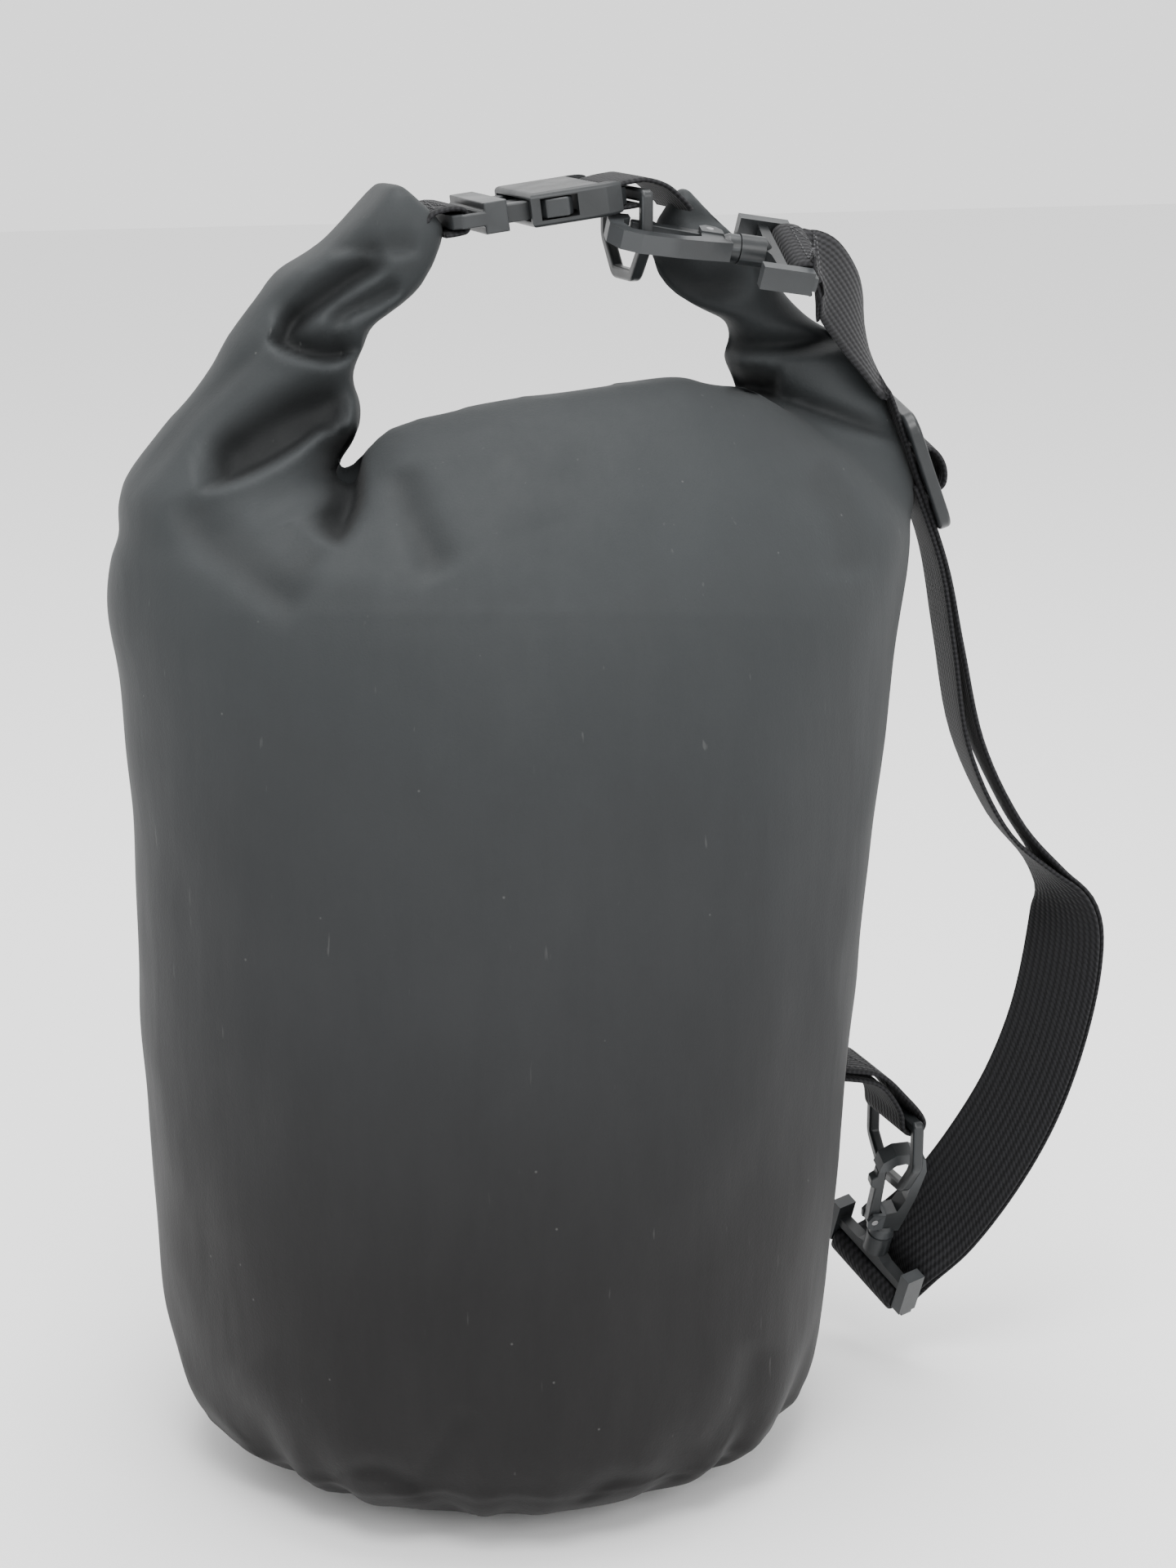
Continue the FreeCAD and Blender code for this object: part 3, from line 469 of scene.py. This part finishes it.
def build_patch(bag, low, high):
    """Welded patch that follows the bag's side, with a soft raised edge sunk into the fabric."""
    tree = BVHTree.FromPolygons([v.co for v in bag.data.vertices],
                                [p.vertices for p in bag.data.polygons])
    middle, half = (low + high) / 2, (high - low) / 2
    points = []
    for back in (False, True):
        for column in range(PATCH_COLUMNS + 1):
            for row in range(PATCH_ROWS + 1):
                u, v = 2 * column / PATCH_COLUMNS - 1, 2 * row / PATCH_ROWS - 1
                start = Vector((PATCH_RAYS_FROM, middle[1] + half[1] * u, middle[2] + half[2] * v))
                spot, out, _, _ = tree.ray_cast(start, Vector((-1, 0, 0)))
                edge = (abs(u) ** 6 + abs(v) ** 6) ** (1 / 6)
                rise = PATCH_RISE - PATCH_EDGE_DROP * float(step_between(edge, 0.93, 1.0))
                rise += PATCH_BEAD * math.exp(-((edge - PATCH_BEAD_PLACE) / PATCH_BEAD_WIDTH) ** 2)
                points.append(spot + out * (PATCH_BACK if back else rise) * MM)
    stride = PATCH_ROWS + 1
    count = (PATCH_COLUMNS + 1) * stride
    faces = []
    for column in range(PATCH_COLUMNS):
        for row in range(PATCH_ROWS):
            a = column * stride + row
            faces.append((a, a + stride, a + stride + 1, a + 1))
            faces.append((a + count + 1, a + count + stride + 1, a + count + stride, a + count))
    rim = ([c * stride for c in range(PATCH_COLUMNS)]
           + [PATCH_COLUMNS * stride + r for r in range(PATCH_ROWS)]
           + [c * stride + PATCH_ROWS for c in range(PATCH_COLUMNS, 0, -1)]
           + list(range(PATCH_ROWS, 0, -1)))
    for a, b in zip(rim, rim[1:] + rim[:1]):
        faces.append((a, a + count, b + count, b))
    made = new_object("ring_tab_patch_welded", points, faces)
    recalculate(made)
    shade_smooth(made)
    return made


# ---- webbing -----------------------------------------------------------------------------------

def placed(origin, along, across):
    """Matrix of a CAD part's place: X along, Y across, from rough directions."""
    x = Vector(along).normalized()
    y = Vector(across)
    y = (y - x * y.dot(x)).normalized()
    z = x.cross(y)
    made = Matrix((x, y, z)).transposed().to_4x4()
    made.translation = Vector(origin)
    return made


BUCKLE = placed((10, 0, 464.5), (0.992, 0, 0.127), (0, 1, 0))
UPPER_BASE = placed((99.5, -28.2, 446.8), (-0.982, 0.109, 0.152), (-0.17, -0.94, -0.30))
LOWER_BASE = placed((161, 22.2, 37.5), (0.016, -0.447, 0.894), (0.312, -0.848, -0.429))
SLIDER = placed((159.5, -6.5, 368), (0.355, 0, -0.935), (0.188, 0.98, 0.071))


def ribbon(name, stations):
    """Webbing through (point, width direction) stations, with its weave's own UVs in metres."""
    rows = smooth_rows([[*point, *direction] for point, direction in stations],
                       WEB_STEPS)
    centres, directions = rows[:, :3], rows[:, 3:]
    runs = np.gradient(centres, axis=0)
    runs /= np.linalg.norm(runs, axis=1)[:, None]
    directions -= runs * np.sum(directions * runs, axis=1)[:, None]
    directions /= np.linalg.norm(directions, axis=1)[:, None]
    faces_out = np.cross(runs, directions)
    w, t = WEB_WIDTH / 2, WEB_THICKNESS / 2
    outline = [(-w, 0), (-w + 0.5, t * 0.8), (-w + 1.2, t), (-w / 3, t * 1.04), (w / 3, t * 1.04),
               (w - 1.2, t), (w - 0.5, t * 0.8), (w, 0), (w - 0.5, -t * 0.8), (w - 1.2, -t),
               (w / 3, -t * 1.04), (-w / 3, -t * 1.04), (-w + 1.2, -t), (-w + 0.5, -t * 0.8)]
    rings = [
        [centre + across * a + out * b for a, b in outline]
        for centre, across, out in zip(centres, directions, faces_out)
    ]
    made = skin(name, rings)
    lengths = np.concatenate([[0], np.cumsum(np.linalg.norm(np.diff(centres, axis=0), axis=1))])
    uv = made.data.uv_layers.new(name="Weave")
    count = len(outline)
    for loop in made.data.loops:
        ring, spot = divmod(loop.vertex_index, count)
        uv.data[loop.index].uv = (outline[spot][0] * MM, lengths[ring] * MM)
    shade_smooth(made)
    made["route"] = rows.ravel().tolist()
    return made


# Stitches: pitch, the shares of it at which the thread comes out and goes in, thread radius, its
# height over the webbing, and how far ahead the webbing's direction is taken.
STITCH_PITCH = 2.6
STITCH_ENDS = (0.12, 0.88)
THREAD_RADIUS = 0.42
THREAD_LIFT = 0.08
LOOK_AHEAD = 0.5


def sew(name, webbing, body, lines):
    """Thread stitches on the webbing's outer face, along lines of (across, along) in mm."""
    rows = np.array(webbing["route"]).reshape(-1, 6)
    centres, directions = rows[:, :3], rows[:, 3:]
    gaps = np.linalg.norm(np.diff(centres, axis=0), axis=1)
    lengths = np.concatenate([[0], np.cumsum(gaps)])

    def on_face(across, along):
        centre, direction, ahead = (
            np.array([np.interp(spot, lengths, table[:, axis]) for axis in range(3)])
            for spot, table in ((along, centres), (along, directions),
                                (along + LOOK_AHEAD, centres)))
        direction /= np.linalg.norm(direction)
        run = ahead - centre
        run -= direction * run.dot(direction)
        out = np.cross(direction, run / np.linalg.norm(run))
        return centre + direction * across + out * (WEB_THICKNESS * 0.52 + THREAD_LIFT)

    work = bmesh.new()
    for start, end in zip(lines[:-1], lines[1:]):
        start, end = np.array(start, float), np.array(end, float)
        count = max(int(np.linalg.norm(end - start) / STITCH_PITCH), 1)
        for number in range(count):
            ends = [on_face(*(start + (end - start) * (number + part) / count))
                    for part in STITCH_ENDS]
            first, last = Vector(ends[0]), Vector(ends[1])
            turn = (last - first).to_track_quat("X", "Z").to_matrix()
            place = Matrix.Translation((first + last) / 2 * MM) @ turn.to_4x4()
            size = Matrix.Diagonal(((last - first).length / 2, THREAD_RADIUS, THREAD_RADIUS,
                                    1 / MM)) * MM
            bmesh.ops.create_icosphere(work, subdivisions=1, radius=1, matrix=place @ size)
    mesh = bpy.data.meshes.new(name)
    work.to_mesh(mesh)
    work.free()
    made = bpy.data.objects.new(name, mesh)
    bpy.context.scene.collection.objects.link(made)
    shade_smooth(made)
    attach(made, body)
    return made


BOX_HALF_WIDTH = 15


def box_stitch(start, end):
    """One line that sews a box and its cross."""
    across = BOX_HALF_WIDTH
    return [(-across, start), (across, start), (across, end), (-across, end), (-across, start),
            (across, end), (across, start), (-across, end)]


def in_place(matrix, corners):
    """Stations at (x, z) corners of a placed part, the webbing's width along its own Y."""
    turned = matrix.to_3x3() @ Vector((0, 1, 0))
    return [(matrix @ Vector((x, 0, z)), turned) for x, z in corners]


# Stations of the strap above and below the slider: point, width direction.
STRAP_TOP = [
    ((108, -30, 445.5), (-0.34, -0.88, -0.34)),
    ((115.5, -26.5, 438), (-0.62, -0.70, -0.36)),
    ((125, -21.5, 427), (-0.64, -0.73, -0.23)),
    ((135.5, -14, 411.5), (-0.44, -0.89, -0.13)),
]
STRAP_LOOSE = [
    ((175.5, -8.5, 300), (-0.20, -0.98, 0)),
    ((183.5, -12.5, 264), (-0.22, -0.97, 0)),
    ((196.5, -19, 234), (-0.20, -0.98, 0)),
    ((210, -25, 213.5), (-0.05, -1.00, 0)),
    ((217, -29, 198), (0.25, -0.97, -0.02)),
    ((217, -29.5, 178), (0.36, -0.93, -0.06)),
    ((213, -26, 148), (0.36, -0.91, -0.15)),
    ((206, -19, 118), (0.36, -0.86, -0.30)),
    ((196, -9, 90), (0.33, -0.75, -0.50)),
    ((185, 4, 64), (0.28, -0.66, -0.65)),
    ((175, 14, 48), (0.29, -0.74, -0.58)),
]
# Distance of the strap's second layer from its first, where it hangs loose and where it is sewn.
LAYER_GAP = [3.0, 5.5, 6.0, 3.0, 2.4, 2.4, 2.6, 3.0, 3.4, 4.2, 5.4]
SEWN_OFFSET = 1.9
# Webbing round the bars of the hooks, the slider and the buckle, as (x, z) of the placed part.
UPPER_WRAP = [(-6, -4.3), (-0.6, -4.3), (2.0, -2.2), (2.0, 2.2), (-0.6, 4.3), (-6, 4.3)]
LOWER_WRAP = [(-7.0, 8), (-7.1, -0.4), (-5.8, -3.6), (-2.4, -4.6), (0.9, -3.6), (2.0, -0.4),
              (1.6, 8)]
SLIDER_HUMP = [(-8.4, -2), (-7, 4.6), (0, 7), (7, 4.6), (8.4, -2)]
LEFT_WEB = [(-34.5, -4.1), (-29.5, -4.1), (-26.4, -3), (-26.4, 3), (-30, 4.6), (-34.5, 4.6),
            (-38.5, 3.6), (-41.5, 0.6)]
RIGHT_WEB = [(36.5, -4.1), (30.5, -4.1), (26.2, -3), (26.2, 3), (30.5, 4.1), (36, 4.4), (41, 4.0),
             (48, 0.6), (53.5, -5.4), (55.6, -8.6)]
# The tab round the lower ring's bar, as (x, z) of the bag.
RING_TAB = [(130.6, 136), (146.6, 132), (157.4, 121.8), (164.2, 113.4), (164.4, 108.9),
            (160.5, 106.8), (156.4, 109), (154.6, 117.2), (145.8, 128.4), (130.4, 132.6)]
UNDER_SLIDER = -3.7
SLIDER_REACH = 36


def build_strap():
    """The shoulder strap's one length of webbing, looped round both hook bars."""
    slider_width = SLIDER.to_3x3() @ Vector((0, -1, 0))
    straight = [(SLIDER @ Vector((along, 0, UNDER_SLIDER)), slider_width)
                for along in (-SLIDER_REACH, 0, SLIDER_REACH)]
    top = [(Vector(point), Vector(width)) for point, width in STRAP_TOP]
    loose = [(Vector(point), Vector(width)) for point, width in STRAP_LOOSE]
    main = top + straight + loose

    def beside(first, gaps):
        """Stations next to those of the main layer, from one on, at the given distances."""
        moved = []
        for offset, gap in enumerate(gaps):
            index = first + offset
            point, width = main[index]
            before = main[max(index - 1, 0)][0]
            after = main[min(index + 1, len(main) - 1)][0]
            moved.append((point + (after - before).cross(width).normalized() * gap, width))
        return moved

    sewn = beside(0, [SEWN_OFFSET, SEWN_OFFSET])
    back = beside(len(top) + 2, [SEWN_OFFSET] + LAYER_GAP)[::-1]
    back.append((SLIDER @ Vector((4, 0, UNDER_SLIDER - SEWN_OFFSET)), slider_width))
    stations = (sewn[::-1] + in_place(UPPER_BASE, UPPER_WRAP) + main
                + in_place(LOWER_BASE, LOWER_WRAP) + back)
    return ribbon("strap_webbing_woven", stations)


# ---- materials ---------------------------------------------------------------------------------

def grey(value):
    """The same value in red, green and blue."""
    return (value,) * 3


class Shader:
    """A new material with short ways to add and join nodes."""

    def __init__(self, name):
        self.material = bpy.data.materials.new(name)
        self.material.use_nodes = True
        self.nodes = self.material.node_tree.nodes
        self.links = self.material.node_tree.links

    def finish(self, **inputs):
        """Set or join the surface's inputs, and give the material."""
        surface = self.nodes["Principled BSDF"]
        for key, source in inputs.items():
            self.put(surface.inputs[key.replace("_", " ")], source)
        return self.material

    def add(self, kind, settings=None, **inputs):
        """A new node with its settings and inputs."""
        node = self.nodes.new("ShaderNode" + kind)
        for key, setting in (settings or {}).items():
            setattr(node, key, setting)
        for key, source in inputs.items():
            self.put(node.inputs[key.replace("_", " ")], source)
        return node

    def put(self, socket, source):
        """Join a socket to another one, or set its value."""
        if isinstance(source, bpy.types.NodeSocket):
            self.links.new(source, socket)
        else:
            socket.default_value = source

    def scaled(self, scale, coordinates="Object", turn=0.0):
        """Texture coordinates, turned in degrees and scaled."""
        source = self.add("TexCoord").outputs[coordinates]
        node = self.add("Mapping", Vector=source, Scale=scale,
                        Rotation=(0, 0, math.radians(turn)))
        return node.outputs["Vector"]

    def noise(self, scale, detail=2.0, roughness=0.5):
        """Cloudy noise from 0 to 1."""
        return self.add("TexNoise", Vector=self.scaled(scale), Scale=1.0, Detail=detail,
                        Roughness=roughness).outputs["Fac"]

    def cells(self, scale):
        """Distance to the nearest of scattered points."""
        return self.add("TexVoronoi", {"feature": "F1"}, Vector=self.scaled(scale),
                        Scale=1.0).outputs["Distance"]

    def wave(self, direction, vector, scale):
        """Straight bands from 0 to 1."""
        return self.add("TexWave", {"wave_type": "BANDS", "bands_direction": direction},
                        Vector=vector, Scale=scale).outputs["Fac"]

    def ramp(self, factor, stops):
        """Colour that follows a factor through stops of (position, colour)."""
        node = self.add("ValToRGB", Fac=factor)
        bar = node.color_ramp
        bar.elements[0].position, bar.elements[0].color = stops[0][0], (*stops[0][1], 1)
        bar.elements[1].position, bar.elements[1].color = stops[-1][0], (*stops[-1][1], 1)
        for position, colour in stops[1:-1]:
            bar.elements.new(position).color = (*colour, 1)
        return node.outputs["Color"]

    def math(self, operation, first, second=0.0):
        node = self.add("Math", {"operation": operation})
        self.put(node.inputs[0], first)
        self.put(node.inputs[1], second)
        return node.outputs[0]

    def mix(self, first, second, factor=1.0, blend="MIX"):
        """Two colours mixed."""
        node = self.add("Mix", {"data_type": "RGBA", "blend_type": blend})
        self.put(node.inputs["Factor"], factor)
        self.put(node.inputs["A"], first)
        self.put(node.inputs["B"], second)
        return node.outputs["Result"]

    def bump(self, height, strength, distance, under=None):
        node = self.add("Bump", Height=height, Strength=strength, Distance=distance)
        if under is not None:
            self.links.new(under, node.inputs["Normal"])
        return node.outputs["Normal"]


def coated_fabric():
    """Satin coated cloth: fine grain over a faint scrim, rubbed lighter in places.

    Its tone falls towards the base and in the folds, as it looks in the photograph's light.
    """
    shader = Shader("coated_fabric")
    blotches = shader.noise((9, 9, 9), 5.0, 0.6)
    grain = shader.noise((1500, 1500, 1500), 3.0)
    rubs = shader.noise((60, 60, 14), 6.0, 0.7)
    # Painted shade: the fabric's colour darkens towards the base and lightens towards the top,
    # where the light falls.
    height = shader.add("SeparateXYZ", Vector=shader.scaled((1, 1, 1))).outputs["Z"]
    tone = shader.ramp(shader.math("MULTIPLY", height, 2.1), [
        (0.0, (0.0046, 0.0041, 0.0041)), (0.22, (0.0064, 0.0062, 0.0064)),
        (0.45, (0.0142, 0.0151, 0.0160)), (0.74, (0.0215, 0.0240, 0.0252)),
        (1.0, (0.0225, 0.0250, 0.0262))])
    patchy = shader.ramp(blotches, [(0.3, grey(0.88)), (0.7, grey(1.1))])
    # Painted shade: the colour darkens where the folds are pressed deepest.
    folds = shader.add("Attribute", {"attribute_name": "fold_shade"}).outputs["Fac"]
    deep = shader.ramp(folds, [(0.1, grey(1.0)), (1.0, grey(0.3))])
    colour = shader.mix(shader.mix(tone, patchy, blend="MULTIPLY"), deep, blend="MULTIPLY")
    specks = shader.ramp(shader.cells((62, 62, 62)), [(0.018, grey(1.0)), (0.035, grey(0.0))])
    scuffs = shader.ramp(shader.noise((420, 420, 46)), [(0.745, grey(0.0)), (0.80, grey(0.6))])
    marks = shader.math("MAXIMUM", specks, scuffs)
    worn = shader.mix(colour, (0.16, 0.16, 0.155, 1), shader.math("MULTIPLY", marks, 0.22))
    relief = shader.bump(grain, 0.22, 0.0003)
    relief = shader.bump(shader.cells((900, 900, 900)), 0.12, 0.0003, relief)
    relief = shader.bump(rubs, 0.10, 0.002, relief)
    return shader.finish(
        Base_Color=worn, Roughness=shader.ramp(rubs, [(0.3, grey(0.62)), (0.7, grey(0.74))]),
        Specular_IOR_Level=0.19, Sheen_Weight=0.03, Sheen_Roughness=0.5, Normal=relief)


def woven_webbing():
    """Ribbed black webbing: lengthwise cords crossed by a fine slanted weft."""
    shader = Shader("woven_webbing")
    cords = shader.wave("X", shader.scaled((1, 1, 1), "UV"), 105.0)
    weft = shader.wave("Y", shader.scaled((1, 1, 1), "UV", turn=34), 190.0)
    fuzz = shader.noise((700, 700, 700), 4.0)
    woven = shader.math("ADD", shader.math("MULTIPLY", cords, 0.7),
                        shader.math("MULTIPLY", weft, 0.5))
    tone = shader.ramp(shader.math("ADD", woven, shader.math("MULTIPLY", fuzz, 0.3)), [
        (0.25, (0.0022, 0.0022, 0.0025)), (0.7, (0.0065, 0.0065, 0.0075)),
        (1.0, (0.014, 0.014, 0.0155))])
    relief = shader.bump(woven, 0.55, 0.0006)
    relief = shader.bump(fuzz, 0.2, 0.0004, relief)
    return shader.finish(Base_Color=tone, Roughness=0.8, Specular_IOR_Level=0.22,
                         Sheen_Weight=0.04, Sheen_Roughness=0.4, Normal=relief)


def stitching_thread():
    """Twisted polyester thread, a little lighter than the webbing."""
    shader = Shader("stitching_thread")
    twist = shader.wave("DIAGONAL", shader.scaled((1, 1, 1)), 900.0)
    tone = shader.ramp(twist, [(0.2, (0.012, 0.012, 0.013)), (0.8, (0.038, 0.038, 0.041))])
    return shader.finish(Base_Color=tone, Roughness=0.6, Normal=shader.bump(twist, 0.4, 0.0002))


def moulded_plastic():
    """Dark satin acetal with a fine mould texture and rubbed edges."""
    shader = Shader("moulded_plastic")
    cloud = shader.noise((70, 70, 70), 5.0, 0.65)
    grain = shader.noise((2600, 2600, 2600))
    worn = shader.ramp(shader.add("NewGeometry").outputs["Pointiness"],
                       [(0.5, grey(0.0)), (0.58, grey(1.0))])
    tone = shader.ramp(cloud, [(0.3, (0.0085, 0.0095, 0.0100)), (0.7, (0.0145, 0.0160, 0.0170))])
    relief = shader.bump(cloud, 0.05, 0.001, shader.bump(grain, 0.12, 0.0002))
    return shader.finish(
        Base_Color=shader.mix(tone, (0.055, 0.059, 0.062, 1), shader.math("MULTIPLY", worn, 0.5)),
        Roughness=shader.ramp(cloud, [(0.3, grey(0.30)), (0.7, grey(0.44))]),
        Specular_IOR_Level=0.32, Normal=relief)


def pin_steel():
    """Brushed steel of the gates' hinge pins."""
    shader = Shader("gate_pin_steel")
    brushed = shader.noise((200, 200, 3000))
    return shader.finish(
        Base_Color=shader.ramp(brushed, [(0.3, (0.32, 0.32, 0.33)), (0.7, grey(0.5))]),
        Metallic=1.0, Roughness=shader.ramp(brushed, [(0.3, grey(0.3)), (0.7, grey(0.45))]))


def paint(made, material):
    """Give an object one material."""
    made.data.materials.clear()
    made.data.materials.append(material)


# ---- stage ---------------------------------------------------------------------------------------

FLOOR_REACH = 6
WORLD_STRENGTH = 1.6
# Area lights, in metres and watts: name, place, size, power.
LIGHTS = [
    ("key", (-0.5, -1.3, 2.3), 0.9, 44),
    ("top", (0.1, 0.1, 2.4), 1.4, 46),
    ("front", (0.6, -2.2, 1.3), 1.2, 26),
]
LIGHT_AIM = Vector((0, 0, 0.3))
# The photograph's camera: what it looks at, from how far, and from which side and height.
CAMERA_TARGET = Vector((0.0304, -0.0099, 0.255))
CAMERA_DISTANCE = 1.2
CAMERA_SIDE = math.radians(-18)
CAMERA_RISE = math.radians(14)
CAMERA_LENS = 75
CAMERA_SENSOR = 36


def build_stage():
    """Pale floor, soft studio light and the camera."""
    floor = new_object(
        "floor", [(x * FLOOR_REACH, y * FLOOR_REACH, 0)
                  for x, y in ((-1, -1), (1, -1), (1, 1), (-1, 1))], [(0, 1, 2, 3)])
    paint(floor, Shader("studio_floor").finish(Base_Color=(0.86, 0.86, 0.86, 1), Roughness=0.9))
    world = bpy.data.worlds.new("studio")
    world.use_nodes = True
    world.node_tree.nodes["Background"].inputs["Color"].default_value = (1, 1, 1, 1)
    world.node_tree.nodes["Background"].inputs["Strength"].default_value = WORLD_STRENGTH
    bpy.context.scene.world = world
    for name, place, size, power in LIGHTS:
        light = bpy.data.lights.new(name, "AREA")
        light.size = size
        light.energy = power
        lamp = bpy.data.objects.new(name, light)
        lamp.location = place
        lamp.rotation_euler = (LIGHT_AIM - Vector(place)).to_track_quat("-Z", "Y").to_euler()
        bpy.context.scene.collection.objects.link(lamp)
    camera = bpy.data.objects.new("camera", bpy.data.cameras.new("camera"))
    camera.data.lens = CAMERA_LENS
    camera.data.sensor_width = CAMERA_SENSOR
    back = Vector((math.sin(CAMERA_SIDE) * math.cos(CAMERA_RISE),
                   -math.cos(CAMERA_SIDE) * math.cos(CAMERA_RISE), math.sin(CAMERA_RISE)))
    camera.location = CAMERA_TARGET + back * CAMERA_DISTANCE
    camera.rotation_mode = "QUATERNION"
    camera.rotation_quaternion = (-back).to_track_quat("-Z", "Y")
    bpy.context.scene.collection.objects.link(camera)
    bpy.context.scene.camera = camera


# ---- assembly ------------------------------------------------------------------------------------

# Rounding of the plastic parts' edges: weld distance in metres, width in millimetres, segments,
# and the angle in degrees from which an edge is rounded.
WELD_DISTANCE = 1e-5
EDGE_ROUNDING = 0.7
EDGE_SEGMENTS = 3
SHARP_ANGLE = 32

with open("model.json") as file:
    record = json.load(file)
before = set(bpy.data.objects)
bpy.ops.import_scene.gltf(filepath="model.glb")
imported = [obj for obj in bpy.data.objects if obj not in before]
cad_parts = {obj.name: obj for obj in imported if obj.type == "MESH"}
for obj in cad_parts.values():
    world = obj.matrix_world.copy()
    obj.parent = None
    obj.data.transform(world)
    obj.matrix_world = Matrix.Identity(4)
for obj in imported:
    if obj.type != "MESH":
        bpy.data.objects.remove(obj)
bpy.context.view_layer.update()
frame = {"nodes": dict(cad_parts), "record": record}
build_stage()

FABRIC = coated_fabric()
WEBBING = woven_webbing()
PLASTIC = moulded_plastic()
STEEL = pin_steel()
THREAD = stitching_thread()
MATERIALS = {"bag_fabric": FABRIC, "webbing": WEBBING, "hardware_plastic": PLASTIC,
             "stiffener_plastic": PLASTIC, "gate_pin": STEEL}

bag = build_bag()
gather_base(bag)
apply_modifier(bag, "SUBSURF", levels=1)
press_folds(bag)
apply_modifier(bag, "SMOOTH", factor=0.3, iterations=1)
shade_smooth(bag)
paint(bag, FABRIC)
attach(bag, "bag")
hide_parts("bag_tube", "base_disc", "mouth_roll", "mouth_stiffener")

low, high = (np.array(corner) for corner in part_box("ring_tab_patch"))
patch = build_patch(bag, low, high)
paint(patch, FABRIC)
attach(patch, "bag")
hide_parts("ring_tab_patch")

strap = build_strap()
left_web = ribbon("buckle_web_left_woven", in_place(BUCKLE, LEFT_WEB))
right_web = ribbon("buckle_web_right_woven", in_place(BUCKLE, RIGHT_WEB))
tab = ribbon("ring_tab_woven", [((x, 0, z), (0, -1, 0)) for x, z in RING_TAB])
hump = ribbon("slider_hump_woven", in_place(SLIDER, SLIDER_HUMP))
for piece, body, node in (
        (strap, "strap", "strap_webbing"), (left_web, "bag", "buckle_web_left"),
        (right_web, "bag", "buckle_web_right"), (tab, "bag", "ring_tab_webbing"),
        (hump, "slider", "slider_web_hump")):
    paint(piece, WEBBING)
    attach(piece, body)
    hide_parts(node)

for name, web, body, lines in (
        ("strap_stitching_top", strap, "strap", box_stitch(34, 45)),
        ("ring_tab_stitching", tab, "bag", box_stitch(3, 16)),
        ("left_web_stitching", left_web, "bag", box_stitch(21, 25))):
    paint(sew(name, web, body, lines), THREAD)

for part in frame["record"]["subparts"]:
    node = frame["nodes"][part["node"]]
    paint(node, MATERIALS[part["material_slot"]])
    if part["material_slot"] == "hardware_plastic":
        node.modifiers.new("Weld", "WELD").merge_threshold = WELD_DISTANCE
        rounding = node.modifiers.new("Bevel", "BEVEL")
        rounding.width = EDGE_ROUNDING * MM
        rounding.segments = EDGE_SEGMENTS
        rounding.limit_method = "ANGLE"
        rounding.angle_limit = math.radians(SHARP_ANGLE)
        node.modifiers.new("Normals", "WEIGHTED_NORMAL").keep_sharp = True
